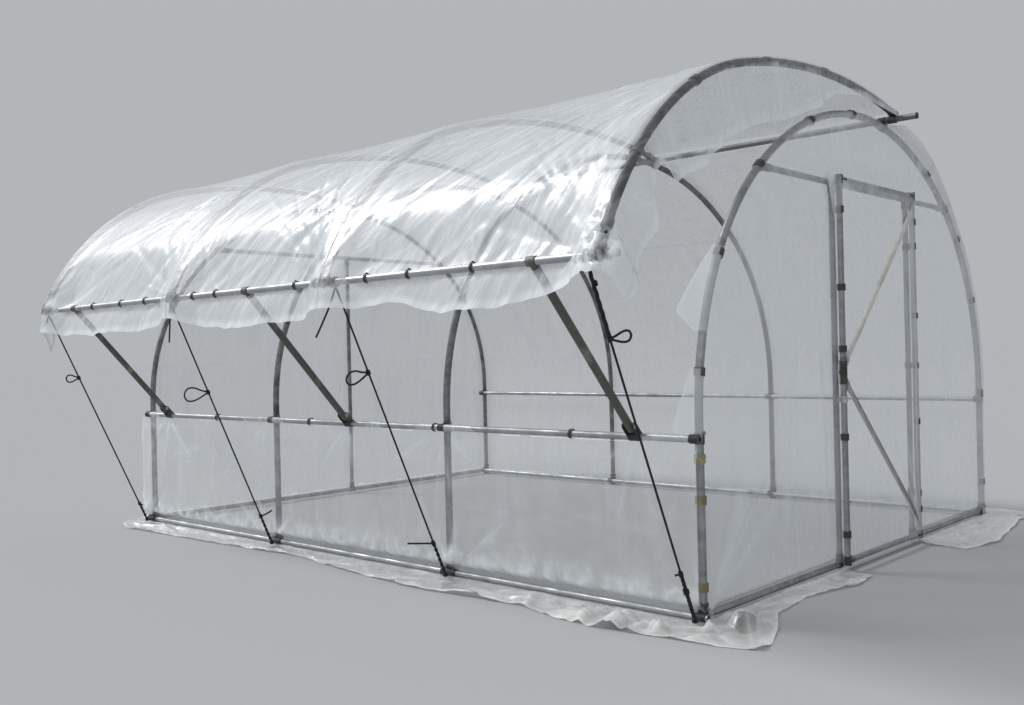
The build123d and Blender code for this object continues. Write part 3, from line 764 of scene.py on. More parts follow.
            # milky at the folds, the crush and the hems, and clear where it lies on a tube
            hem = soft_step(0.984, 0.993, np.abs(2 * u - 1)) * 0.5 + soft_step(0.985, 0.996, v) * 0.45
            on_tube = np.exp(-((near_arc / 0.02) ** 2)) * (np.abs(flat) > 1.9)
            on_tube += np.exp(-(((s - EAVE_AT) / 0.016) ** 2)) * 0.3
            veil = np.abs(crease) / rise * 0.24 + bunch * (0.12 + np.abs(rumple) / 0.03) + hem - 0.4 * on_tube
            veil += np.where(beyond > 0.045, (0.14 + 0.26 * np.abs(pleat)) * soft_step(0.4, 1.2, s), 0)
            veil += (past > 0.004) * (0.10 * np.abs(ripple) - 0.05)
            # streaks fan out from a point past each arc
            origin = np.full_like(x, ARCS[0])
            for arc in ARCS[1:3]:
                origin[x < arc] = arc
            down, away = s - gather_s, origin + gather_x - x
            ray = np.arctan2(down, away)
            pull = np.stack((ray * 6, np.hypot(down, away) * 0.5, 0 * ray), axis=1)
            return x, y, z, veil, pull

        piece = film_piece("flap_sheet", 380, 250, lay, "roof", "flap")
        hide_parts("flap_film")
        return {"FINISHED"}


class GREENHOUSE_OT_back(bpy.types.Operator):
    """Film over the back half of the tunnel, from the ridge to the ground"""

    bl_idname = "greenhouse.back"
    bl_label = "Back Film"

    def execute(self, context):
        look = context.scene.greenhouse_film
        draw = np.random.default_rng(23)
        start = HOOP_LINE.length / 2 + 0.243
        end = HOOP_LINE.length
        rise = look.fold_height
        area = (-2, 2, start, end)
        lines = scatter(draw, 60, area, 88, 10, (0.5, 2.0), rise, (0.01, 0.035))
        lines += scatter(draw, 30, area, 8, 14, (0.3, 1.3), rise * 0.7, (0.008, 0.02))
        seams = [
            (-2.2, start + 0.93, 2.3, start + 0.93, 1, 0.004),
            (-2.2, start + 0.55, 2.3, start + 0.56, 0.5, 0.003),
        ]
        # loose film past the near hoop, by the way down from the ridge
        over = ((0, 0.10), (0.25, 0.10), (0.6, 0.06), (1.0, 0.03), (1.6, 0.025), (2.8, 0.015))
        far_edge = -2.0233

        def lay(u, v):
            """Over the hoops and down to the ground, with folds only between the tubes."""
            s = start + v * (end - start - 0.0045)
            loose = np.interp(s - start, *zip(*over)) + 0.004 * noise_line(s, 3.0, 2.0)
            x = far_edge + u * (HOOPS[0] - far_edge + loose)
            beyond = np.maximum(x - HOOPS[0] - 0.012, 0)
            # folds stay flat on the hoops and on the rail, and stand off at the ground
            near_hoop = np.minimum.reduce([np.abs(x - hoop) for hoop in HOOPS])
            free = soft_step(0.05, 0.25, near_hoop) * (beyond == 0)
            crease = folds(x, s, lines) + 0.003 * crumple(x, s, 0.3, 4.0)
            foot = soft_step(end - 0.3, end, s)
            rail = soft_step(0.02, 0.1, np.abs(s - (end - RAIL[1])))
            lift = FILM_SEAT + crease * free * (0.35 + 0.65 * rail) + 0.012 * foot * free
            lift = np.maximum(lift, 0.0175) - beyond * (0.30 + 0.2 * noise_line(s, 2.0, 8.0))
            y, z, _, _ = HOOP_LINE.at(s, lift)
            rim = soft_step(0.985, 0.998, u) * 0.2
            veil = np.abs(crease) / rise * 0.26 * free + folds(x, s, seams) * 0.3 + rim
            return x, y, z, veil

        piece = film_piece("back_sheet", 190, 150, lay, "back")
        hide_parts("back_film")
        return {"FINISHED"}


def trace_line(points, share):
    """Places along a chain of points, each given with its own share of the way."""
    shares = [point[0] for point in points]
    return [np.interp(share, shares, [point[axis] for point in points]) for axis in range(1, len(points[0]))]


class GREENHOUSE_OT_gable(bpy.types.Operator):
    """Film of the door gable: one sheet cut out round the doorway and wrapped on the hoop"""

    bl_idname = "greenhouse.gable"
    bl_label = "Gable Film"

    def execute(self, context):
        look = context.scene.greenhouse_film
        draw = np.random.default_rng(31)
        left = LATCH_POST + 0.012
        right = HINGE_POST + 0.02
        doorway = (
            (0, left, FOOT), (0.34, left, BAR_HEIGHT - 0.02), (0.36, left + 0.02, BAR_HEIGHT),
            (0.62, right - 0.02, BAR_HEIGHT), (0.64, right, BAR_HEIGHT - 0.02), (1, right, FOOT),
        )
        end = HOOP_LINE.length - FOOT
        hoop = ((0, FOOT), (0.34, 1.83), (0.36, 1.98), (0.62, 3.84), (0.64, 4.0), (1, end))
        rise = look.fold_height
        lines = scatter(draw, 30, (-1.5, -0.4, 0, 1.5), 92, 4, (0.6, 1.9), rise * 0.6, (0.01, 0.045))
        lines += scatter(draw, 22, (0.5, 1.5, 0, 1.5), 90, 5, (0.5, 1.7), rise * 0.6, (0.01, 0.04))
        lines += scatter(draw, 14, (-1.2, 1.2, 1.75, 2.0), 80, 24, (0.15, 0.4), rise * 0.5, (0.006, 0.02))
        lines += fan(draw, (left, BAR_HEIGHT), 7, (95, 200), (0.25, 0.7), rise, (0.006, 0.014))
        lines += fan(draw, (right, BAR_HEIGHT), 6, (-10, 85), (0.25, 0.7), rise, (0.006, 0.014))
        lines += fan(draw, (-1.49, 0.05), 9, (20, 80), (0.3, 0.9), rise, (0.008, 0.025))
        seams = [
            (-0.79, -0.3, -0.80, 2.6, 1, 0.0035), (-1.2, -0.3, -1.22, 2.4, 0.6, 0.004),
            (0.98, -0.3, 0.97, 2.4, 0.6, 0.004),
        ]
        # how far the wrapped edge flares out, by the way round the hoop
        flares = ((0.0, 0), (0.66, 0), (0.71, 0.09), (0.97, 0), (1.06, 0), (1.15, 0.10), (1.45, 0), (3, 0))
        wrap_from = 0.94
        tube = 0.0185
        tuck = 0.047

        def lay(u, v):
            """From the doorway's edge out to the hoop, then round it with a flared edge."""
            # straight across from the doorway to the hoop
            inner_y, inner_z = trace_line(doorway, u)
            (run,) = trace_line(hoop, u)
            reach = np.minimum(v / wrap_from, 1)
            outer_y, outer_z, out_y, out_z = HOOP_LINE.at(run, 0.006)
            y = inner_y + (outer_y - inner_y) * reach
            z = inner_z + (outer_z - inner_z) * reach
            crease = folds(y, z, lines) + 0.0025 * crumple(y, z, 0.30, 1.0)
            # folds flat on the bar and the tubes, and the foot tucked in behind the base tube
            calm = soft_step(0, 0.08, reach) * (1 - soft_step(0.9, 0.97, reach))
            bar = soft_step(0.015, 0.07, np.abs(z - BAR_HEIGHT))
            x = GABLE_X - 0.0015 + np.maximum(crease * calm * (0.4 + 0.6 * bar), -0.003)
            x -= tuck * soft_step(0.075, 0.03, z) * calm
            # the edge that wraps the hoop, with its flares at the open side
            past = np.maximum(v - wrap_from, 0) / (1 - wrap_from)
            open_side = 1 - soft_step(2.55, 2.9, run)
            (spread,) = trace_line(flares, run)
            around = math.radians(100) * np.minimum(past * 2.5, 1) * open_side
            ahead = np.maximum(past - 0.4, 0) / 0.6 * (0.004 + spread) * open_side
            wrapped_x = HOOPS[0] + tube * np.cos(around) - ahead
            wrapped_out = (tube - 0.0005) * np.sin(around) + ahead * 0.15
            lean = past > 0
            x = np.where(lean, np.where(open_side > 0.5, wrapped_x, x - 0.002 * past), x)
            side_out = np.where(lean, wrapped_out * open_side + (1 - open_side) * 0.008 * past, 0)
            # milky at folds, seams and flares, and clear on the hoop
            rim = np.exp(-(((reach - 1) / 0.012) ** 2))
            veil = np.abs(crease) / rise * 0.42 * calm + folds(y, z, seams) * 0.34 - 0.3 * rim * open_side
            veil = np.where(lean, np.where(spread > 0.01, 0.2, -0.3), veil)
            veil += 0.25 * soft_step(0.9, 1, past) * (spread > 0.01)
            return x, y + out_y * side_out, np.maximum(z + out_z * side_out, 0.003), veil

        piece = film_piece("gable_sheet", 400, 120, lay, "gable")
        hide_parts("gable_film_left", "gable_film_right", "gable_film_top")
        return {"FINISHED"}


class GREENHOUSE_OT_far_gable(bpy.types.Operator):
    """Film of the far gable, one sheet up to the hoop"""

    bl_idname = "greenhouse.far_gable"
    bl_label = "Far Gable Film"

    def execute(self, context):
        look = context.scene.greenhouse_film
        draw = np.random.default_rng(41)
        rise = look.fold_height
        lines = scatter(draw, 50, (-1.5, 1.5, 0, 2.0), 90, 6, (0.5, 1.8), rise * 0.8, (0.01, 0.035))
        margin = 0.010
        side = HALF_WIDTH + margin

        def lay(u, v):
            """From the ground up to the hoop's outline."""
            # the outline by its two bends, the haunch and the crown
            y = side * np.sin((u - 0.5) * math.pi)
            past = np.maximum(np.abs(y) - INSET, 0)
            haunch = LEG + np.sqrt(np.maximum((HAUNCH + margin) ** 2 - past ** 2, 0))
            crown = CROWN_CENTRE + np.sqrt((CROWN + margin) ** 2 - y ** 2)
            top = np.where(haunch < LEG + HAUNCH * math.sin(TURN), haunch, crown)
            z = FOOT + v * (top - FOOT)
            crease = folds(y, z, lines) + 0.003 * crumple(y, z, 0.3, 8.0)
            calm = np.minimum(soft_step(0, 0.1, top - z), soft_step(0.02, 0.12, side - np.abs(y)))
            bar = soft_step(0.015, 0.07, np.abs(z - BAR_HEIGHT))
            veil = np.abs(crease) / rise * 0.3 * calm
            return -GABLE_X - np.maximum(crease * calm * (0.4 + 0.6 * bar), -0.003), y, z, veil

        piece = film_piece("far_gable_sheet", 150, 110, lay, "back")
        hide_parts("far_gable_film")
        return {"FINISHED"}


class GREENHOUSE_OT_wall(bpy.types.Operator):
    """Low film wall at the open side, hung from the front rail and tucked behind the base tube"""

    bl_idname = "greenhouse.wall"
    bl_label = "Front Wall Film"

    def execute(self, context):
        look = context.scene.greenhouse_film
        draw = np.random.default_rng(53)
        rise = look.fold_height
        lines = scatter(draw, 34, (-2, 2, 0, 0.65), 88, 10, (0.2, 0.6), rise * 0.7, (0.01, 0.03))
        lines += scatter(draw, 16, (-2, 2, 0.1, 0.65), 4, 12, (0.3, 1.3), rise * 0.5, (0.008, 0.02))
        for hoop in HOOPS:
            lines += fan(draw, (hoop, 0.68), 7, (200, 340), (0.15, 0.7), rise, (0.006, 0.018))
            lines += fan(draw, (hoop + 0.05, 0.03), 8, (15, 165), (0.12, 0.5), rise * 1.3, (0.006, 0.018))
        for strut in STRUTS:
            lines += fan(draw, (strut, 0.68), 6, (215, 325), (0.15, 0.5), rise, (0.006, 0.016))
        # where the film's top edge is turned over the rail, and by how many degrees
        wraps = (
            (1.80, 1.97, 200), (0.52, 0.86, 165), (0.16, 0.24, 120), (-0.9, -0.55, 150), (-1.99, -1.86, 170),
        )
        wrap_share = 0.1
        least = 58
        tuck = 0.0335
        radius = SMALL_TUBE + 0.0035
        far_edge, width = -2.035, 4.055
        wall_line = -1.5485

        def lay(u, v):
            """Round the rail, down the outside and behind the base tube."""
            # how far its top edge turns over the rail
            x = far_edge + u * width
            corner = soft_step(0.03, 0.0, u)
            angle = 10 * noise_line(x, 9.0, 1.0) - least
            for low, high, most in wraps:
                ended = soft_step(high - 0.03, high + 0.04, x)
                angle += (most + least) * soft_step(low - 0.04, low + 0.03, x) * (1 - ended)
            angle = np.radians(angle)
            share = np.minimum(v / wrap_share, 1)
            around = -math.radians(least) + (angle + math.radians(least)) * (1 - share)
            y = RAIL[0] - radius * np.cos(around)
            z = RAIL[1] + radius * np.sin(around)
            # the hanging part, with its folds and the gathers near the ground
            down = np.maximum(v - wrap_share, 0) / (1 - wrap_share)
            top = RAIL[1] - radius * math.sin(math.radians(least))
            z = np.where(down > 0, top - down * (top - FOOT), z)
            crease = folds(x, z, lines) + 0.003 * crumple(x, z, 0.22, 3.0)
            gathered = np.exp(-(((z - 0.09) / 0.06) ** 2))
            crease += 0.016 * crumple(x, z, 0.10, 6.0) * gathered
            calm = soft_step(0, 0.1, down)
            belly = 0.010 * np.sin(np.pi * down) * (0.6 + 0.5 * np.sin(x * 3.1 + 0.6))
            # a slight belly, and the foot tucked in behind the base tube
            wall_y = wall_line + 0.010 * (1 - soft_step(0, 0.12, down))
            tucked = soft_step(0.085, 0.045, z)
            push = np.maximum(crease * calm + belly, -0.0005) * (1 - tucked)
            y = np.where(down > 0, wall_y - push + tuck * tucked, y)
            y -= tuck * soft_step(0.016, 0.004, z)
            # the far top corner flaps out
            flap = corner * soft_step(0.45, 0.75, z)
            x = x - 0.095 * flap
            y = y + 0.03 * flap
            veil = np.abs(crease) / rise * 0.36 * calm * (1 - 0.6 * tucked) + 0.16 * gathered * calm
            veil += 0.2 * soft_step(0.006, 0.001, u)
            veil += np.where((angle > 0) & (down <= 0), 0.12 + 0.35 * np.abs(noise_line(x, 30.0, 2.0)), 0)
            return x, y, z, veil

        piece = film_piece("front_wall_sheet", 340, 90, lay, "wall")
        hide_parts("front_film")
        return {"FINISHED"}


class GREENHOUSE_OT_door(bpy.types.Operator):
    """Film over the door leaf, turned in round its stiles"""

    bl_idname = "greenhouse.door"
    bl_label = "Door Film"

    def execute(self, context):
        look = context.scene.greenhouse_film
        draw = np.random.default_rng(61)
        rise = look.fold_height
        lines = scatter(draw, 22, (-0.4, 0.4, 0, 1.5), 90, 5, (0.4, 1.5), rise * 0.6, (0.006, 0.02))
        lines += fan(draw, (LATCH_STILE, 1.74), 8, (-85, -20), (0.25, 0.8), rise, (0.006, 0.016))
        lines += fan(draw, (HINGE_STILE, 0.06), 7, (95, 160), (0.25, 0.8), rise, (0.006, 0.016))
        wrap = 0.05
        tube = SMALL_TUBE + 0.0022
        bend = math.radians(110)
        # the braces' slope, and the height at which they meet
        brace_slope, brace_height = 0.96, 0.92

        def lay(u, v):
            """Across the leaf and round both stiles, with one corner loose."""
            across = LATCH_STILE - wrap + u * (HINGE_STILE - LATCH_STILE + 2 * wrap)
            z = DOOR_BOTTOM + v * (DOOR_TOP - DOOR_BOTTOM + 0.012)
            # what is left past the stiles turns in round them
            past = np.maximum(LATCH_STILE - across, 0) + np.maximum(across - HINGE_STILE, 0)
            side = np.where(across < 0, -1.0, 1.0)
            y = np.clip(across, LATCH_STILE, HINGE_STILE)
            around = np.minimum(past / tube, bend)
            spare = np.maximum(past - tube * bend, 0)
            loose = np.interp(z, (0, 1.56, 1.735, 1.78), (0, 0, 1, 0.55)) * (side < 0)
            crease = folds(across, z, lines) + 0.002 * crumple(across, z, 0.22, 2.0)
            calm = 1 - soft_step(0, 0.02, past)
            # flat on the tubes and a little bellied in the middle
            rails = np.minimum(np.abs(z - DOOR_BOTTOM - SMALL_TUBE), np.abs(z - DOOR_TOP + SMALL_TUBE))
            inside = np.minimum(y - LATCH_STILE, HINGE_STILE - y)
            middle = soft_step(0, 0.08, inside) * soft_step(0.01, 0.08, rails)
            x = DOOR_X + tube * np.cos(around) + np.maximum(crease * calm * (0.3 + 0.7 * middle), -0.0005)
            x += 0.006 * middle * np.sin(np.pi * v) * np.sin(y * 7)
            y = y + side * (tube * np.sin(around) + spare * (0.25 + 0.25 * np.sin(z * 9)) * (1 - loose))
            y -= loose * past * 1.5
            x = x - spare * 0.4 + loose * past * 0.1
            # clear where it is pressed on the tubes and the braces
            near = np.minimum(y - LATCH_STILE, HINGE_STILE - y)
            brace = np.abs(np.abs(z - brace_height) - 0.04 - (y - LATCH_STILE) * brace_slope)
            rails = np.minimum(rails, brace)
            press = np.exp(-((np.minimum(np.abs(near), rails) / 0.014) ** 2)) * (1 - loose)
            veil = np.abs(crease) / rise * 0.42 * calm - 0.3 * press
            veil += loose * 0.4 * soft_step(0.015, 0.03, past)
            return x, y, z, veil

        piece = film_piece("door_sheet", 110, 150, lay, "gable", "door")
        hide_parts("door_film")
        return {"FINISHED"}


SKIRT = (
    # inner X, Y, then outer X, Y, round the foot from the door's latch side to its hinge side
    (2.025, -0.36, 2.16, -0.40), (2.025, -0.60, 2.19, -0.60), (2.025, -0.95, 2.11, -0.93),
    (2.025, -1.20, 2.15, -1.22), (2.025, -1.42, 2.26, -1.42), (2.025, -1.50, 2.335, -1.60),
    (2.02, -1.54, 2.345, -1.69), (1.99, -1.548, 2.20, -1.735), (1.90, -1.548, 1.97, -1.75),
    (1.70, -1.548, 1.78, -1.775), (1.45, -1.548, 1.50, -1.765), (1.25, -1.548, 1.27, -1.715),
    (0.98, -1.548, 0.98, -1.75), (0.60, -1.548, 0.60, -1.755), (0.23, -1.548, 0.23, -1.72),
    (-0.29, -1.548, -0.29, -1.64), (-0.70, -1.548, -0.70, -1.667), (-1.14, -1.548, -1.14, -1.70),
    (-1.55, -1.548, -1.55, -1.716), (-1.85, -1.548, -1.95, -1.745), (-2.0, -1.548, -2.10, -1.68),
    (-2.03, -1.53, -2.20, -1.56), (-2.03, -1.42, -2.25, -1.45), (-2.03, -0.8, -2.27, -0.8),
    (-2.03, 0.0, -2.33, 0.05), (-2.03, 0.8, -2.26, 0.8), (-2.03, 1.42, -2.31, 1.45),
    (-2.03, 1.52, -2.33, 1.76), (-1.95, 1.53, -2.0, 1.765), (-1.0, 1.53, -1.0, 1.70),
    (0.0, 1.53, 0.0, 1.75), (1.0, 1.53, 1.0, 1.71), (1.95, 1.53, 2.0, 1.765), (2.03, 1.52, 2.33, 1.74),
    (2.03, 1.42, 2.23, 1.46), (2.03, 1.1, 2.28, 1.1), (2.03, 0.75, 2.335, 0.73), (2.03, 0.55, 2.29, 0.44),
    (2.03, 0.49, 2.12, 0.44),
)


class GREENHOUSE_OT_skirt(bpy.types.Operator):
    """Spare film that lies crumpled on the ground round the foot"""

    bl_idname = "greenhouse.skirt"
    bl_label = "Ground Film"

    def execute(self, context):
        draw = np.random.default_rng(71)
        middles = [((row[0] + row[2]) / 2, (row[1] + row[3]) / 2) for row in SKIRT]
        marks = np.cumsum([0] + [math.dist(*pair) for pair in zip(middles, middles[1:])])
        chain = [(mark / marks[-1], *row) for mark, row in zip(marks, SKIRT)]
        lines = scatter(draw, 260, (0, marks[-1], 0, 0.28), 12, 22, (0.15, 0.6), 0.016, (0.006, 0.018))
        lines += scatter(draw, 70, (0.9, 2.3, 0, 0.35), 70, 40, (0.08, 0.3), 0.03, (0.008, 0.024))
        furthest = 2.345
        highest, boot_top, boot_round = 0.055, 0.076, 0.066

        def lay(u, v):
            """Laid out from the foot with folds, and raised over the boot."""
            inner_x, inner_y, outer_x, outer_y = trace_line(chain, u)
            run = u * marks[-1]
            jag = noise_line(run, 3.2, 0.5) + 0.4 * noise_line(run, 9.0, 1.5)
            reach = v * (1 + 0.09 * jag)
            x = inner_x + (outer_x - inner_x) * reach
            y = inner_y + (outer_y - inner_y) * reach
            # a low pile of folds by the way round and the way out
            depth = v * np.hypot(outer_x - inner_x, outer_y - inner_y)
            fold = folds(run, depth, lines)
            fine = crumple(run, depth, 0.05, 1.0)
            near_wall = 0.012 * soft_step(0.25, 0.0, v)
            pile = fold + 0.012 * crumple(run, depth, 0.18, 3.0) + 0.003 * fine
            z = 0.002 + np.maximum(pile * (0.3 + 0.7 * soft_step(0, 0.3, v)) + near_wall + 0.003, 0)
            hem = soft_step(0.9, 0.96, v) * 0.22 + 0.08 * soft_step(0.8, 0.84, v)
            veil = np.abs(fold) / 0.016 * 0.30 + hem + 0.06 * fine - 0.10
            over_boot = np.exp(-((np.hypot(x - BOOT[0], y - BOOT[1]) / boot_round) ** 4))
            z = np.maximum(np.minimum(z, highest), boot_top * over_boot)
            return np.clip(x, -furthest, furthest), y, z, veil - 0.35 * over_boot * (0.7 + fine)

        piece = film_piece("ground_sheet", 900, 32, lay, "ground")
        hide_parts("ground_skirt")
        return {"FINISHED"}


def rope_run(curve, points):
    """One smooth strand of rope through its points."""
    strand = curve.splines.new("NURBS")
    strand.points.add(len(points) - 1)
    for knot, spot in zip(strand.points, points):
        knot.co = (*spot, 1)
    strand.order_u = 3
    strand.use_endpoint_u = True


def winding(centre, along, radius, turns, pitch):
    """Points of a winding about a line."""
    steps = int(turns * 8)
    turn = stand(centre, along, (0.2, -0.9, 0.1))
    points = []
    for step in range(steps + 1):
        angle = step * math.radians(45)
        lift = (step / 8 - turns / 2) * pitch
        points.append(turn @ Vector((radius * math.cos(angle), radius * math.sin(angle), lift)))
    return points


def twisted(curve, start, end, radius, pitch, count):
    """Strands twisted round each other from one place to another."""
    way = end - start
    turns = max(1.0, way.length / pitch)
    base = stand(start, way, (0.2, -0.9, 0.1))
    steps = int(turns * 6)
    for number in range(count):
        points = []
        for step in range(steps + 1):
            share = step / steps
            angle = 2 * math.pi * (turns * share + number / count)
            spot = (radius * math.cos(angle), radius * math.sin(angle), way.length * share)
            points.append(base @ Vector(spot))
        rope_run(curve, points)


class GREENHOUSE_OT_ropes(bpy.types.Operator):
    """Four ropes from the eave tube to the ring eyes, with their loops, knots and tails"""

    bl_idname = "greenhouse.ropes"
    bl_label = "Ropes"

    def execute(self, context):
        radius = context.scene.greenhouse_rope.radius
        curve = bpy.data.curves.new("tension_ropes", "CURVE")
        curve.dimensions = "3D"
        curve.bevel_depth = radius
        curve.bevel_resolution = 2
        curve.resolution_u = 5
        curve.use_fill_caps = True
        across = Vector((0.737, 0.676, 0))
        down = Vector((0, 0, -1))
        # how far each point of a loop is out, down and bowed, and each point of a tail is out and down
        ring_steps = (
            (0.30, 0.3, -0.35), (0.66, 0.6, -1), (0.96, 1, -0.95), (1.10, 1.1, 0), (0.96, 1, 0.95),
            (0.64, 0.8, 1), (0.28, 0.4, 0.5),
        )
        tail_steps = ((0.5, 0.3), (1, 1))
        top_steps = ((0.2, 0.3), (0.7, 0.75), (1, 1))
        # where each loop and lower knot sit, the loop's reach, side and droop, and the lower and upper tails
        facts = (
            (0.20, 0.86, 0.066, 1, -0.010, (-0.022, 0.004), (0.02, 0.07)),
            (0.285, 0.885, 0.088, -1, 0.026, (-0.115, -0.002), (-0.085, 0.21)),
            (0.36, 0.885, 0.115, -1, 0.012, (0.06, -0.03), (-0.01, 0.20)),
            (0.30, 0.92, 0.072, -1, 0.004, (0.02, 0.012), (-0.01, 0.05)),
        )
        for number, (loop_at, knot_at, reach, side, droop, tail, top_tail) in enumerate(facts):
            top = HOOPS[number] + ROPE_TOPS[number]
            high = place(top, EAVE[0], EAVE[1] - EAVE_TUBE - radius)
            low = place(HOOPS[number] + EYES[number], EYE_Y - 0.002, BASE_HEIGHT + 0.004)
            way = low - high
            along = way.normalized()
            loop = high + way * loop_at
            knot = high + way * knot_at
            rope_run(curve, winding(place(top, *EAVE), (1, 0, 0), EAVE_TUBE + radius, 2.4, radius * 2.3))
            if number == 0:
                twisted(curve, high, loop, radius * 1.05, 0.11, 3)
                upper = high + way * 0.055 + across * 0.004
                rope_run(curve, winding(upper, along, radius * 1.9, 2.0, radius * 2))
            else:
                rope_run(curve, [high, high + way * 0.02, loop - along * 0.02, loop])
            rope_run(curve, [loop, loop + along * 0.02, knot - along * 0.02, knot])
            twisted(curve, knot, low, radius * 0.95, 0.05, 3 if number == 0 else 2)
            rope_run(curve, winding(low, (1, 0, 0), radius * 1.7, 1.5, 0.007))
            if number == 0:
                rope_run(curve, winding(knot + along * 0.072, along, radius * 2.0, 2.5, radius * 2))
            for centre, size in ((loop, 1.0), (knot, 0.85)):
                rope_run(curve, winding(centre, along, radius * 1.5 * size, 2.6, radius * 2.2))
                rope_run(curve, winding(centre, across, radius * 1.7 * size, 1.4, radius * 1.6))
            out = across * side * reach
            drop = down * droop
            bow = down * reach * 0.30
            ring = (loop + out * far + drop * low + bow * bent for far, low, bent in ring_steps)
            rope_run(curve, [loop, *ring, loop])
            for spot, (far, low), steps in ((knot, tail, tail_steps), (high, top_tail, top_steps)):
                rope_run(curve, [spot, *(spot + across * far * a + down * low * b for a, b in steps)])
        shown = bpy.data.objects.new("rope_curve", curve)
        context.scene.collection.objects.link(shown)
        context.view_layer.update()
        mesh = bpy.data.meshes.new_from_object(shown.evaluated_get(context.evaluated_depsgraph_get()))
        bpy.data.objects.remove(shown)
        piece = linked("tension_ropes", mesh)
        coat(piece, FINISHES["rope"])
        top = place(0, EAVE[0] + 0.05, EAVE[1] - 0.12)
        place(0, EYE_Y, 0.1)
        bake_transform(piece)
        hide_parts("ropes")
        return {"FINISHED"}


class GREENHOUSE_OT_clips(bpy.types.Operator):
    """Clips that hold the film on the arcs, the eave tube, the near hoop, the rail and the door"""

    bl_idname = "greenhouse.clips"
    bl_label = "Film Clips"

    def execute(self, context):
        # radius inside each clip, its length and the angle of its gap
        on_arc, on_eave, on_hoop = (0.0186, 0.03, 100), (0.0176, 0.011, 70), (0.0194, 0.032, 110)
        on_rail, on_latch, on_hinge = (0.0178, 0.012, 80), (0.0166, 0.03, 120), (0.0166, 0.03, 130)
        arc = bmesh.new()
        for x in (ARCS[0], ARCS[3]):
            for spot in ((-2.1, 1.426), (-1.931, 1.683), (-1.546, 1.964), (-1.026, 2.159), (-0.515, 2.181)):
                y, z, out_y, out_z = FLAP_LINE.spot(FLAP_LINE.nearest(*spot))
                out = (0.5 if x > 0 else -0.5, out_y, out_z)
                add_clip(arc, place(x, y, z), (0, -out_z, out_y), out, *on_arc)
        eave = bmesh.new()
        for x in EAVE_CLIPS:
            add_clip(eave, place(x, *EAVE), (1, 0, 0), (0, -0.6, 0.8), *on_eave)
            add_bolt(eave, place(x, EAVE[0] - 0.002, EAVE[1] + 0.0196), (0, 0, 1), 0.004)
        hoop = bmesh.new()
        worn = bmesh.new()
        for number, spot in enumerate((
            (-1.504, 0.135), (-1.51, 0.454), (-1.531, 0.605), (-1.523, 0.929), (-1.344, 1.376),
            (-1.015, 1.743), (-0.559, 1.98), (-0.141, 2.07), (0.756, 1.891), (1.147, 1.557), (1.365, 1.239),
            (1.5, 0.72), (1.5, 0.2),
        )):
            y, z, out_y, out_z = HOOP_LINE.spot(HOOP_LINE.nearest(*spot))
            shape = worn if number < 3 else hoop
            out = (0.8, out_y * 0.6, out_z * 0.6)
            add_clip(shape, place(HOOPS[0], y, z), (0, out_z, -out_y), out, *on_hoop)
        for x in (1.42, 0.62, -0.32, -1.2):
            add_clip(hoop, place(x, *RAIL), (1, 0, 0), (0, -0.6, 0.8), *on_rail)
        boot = bmesh.new()
        turn = Matrix.Translation(place(*BOOT, 0.034)) @ Matrix.Rotation(math.radians(14), 4, "Y")
        add_cone(boot, turn, 40, 0.048, 0.036, 0.05)
        rims = [edge for edge in boot.edges if len(edge.link_faces) == 2 and edge.calc_face_angle() > 1]
        bmesh.ops.bevel(boot, geom=rims, offset=0.008, segments=4, affect="EDGES", profile=0.5)
        stile = bmesh.new()
        for z in (1.614, 1.268, 0.994, 0.603, 0.171):
            add_clip(stile, place(DOOR_X, LATCH_STILE, z), (0, 0, 1), (0.8, -0.6, 0), *on_latch)
        for z in (1.62, 1.15, 0.62, 0.18):
            add_clip(stile, place(DOOR_X, HINGE_STILE, z), (0, 0, 1), (1, 0.1, 0), *on_hinge)
        for name, shape, body, finish in (
            ("arc_clips", arc, "flap", "clip"), ("eave_clips", eave, "flap", "clip"),
            ("hoop_clips", hoop, "frame", "clip"), ("foot_clips", worn, "frame", "worn_clip"),
            ("door_clips", stile, "door", "clip"), ("corner_boot", boot, "frame", "plastic"),
        ):
            dress(solid_piece(name, shape), finish, body)
        return {"FINISHED"}


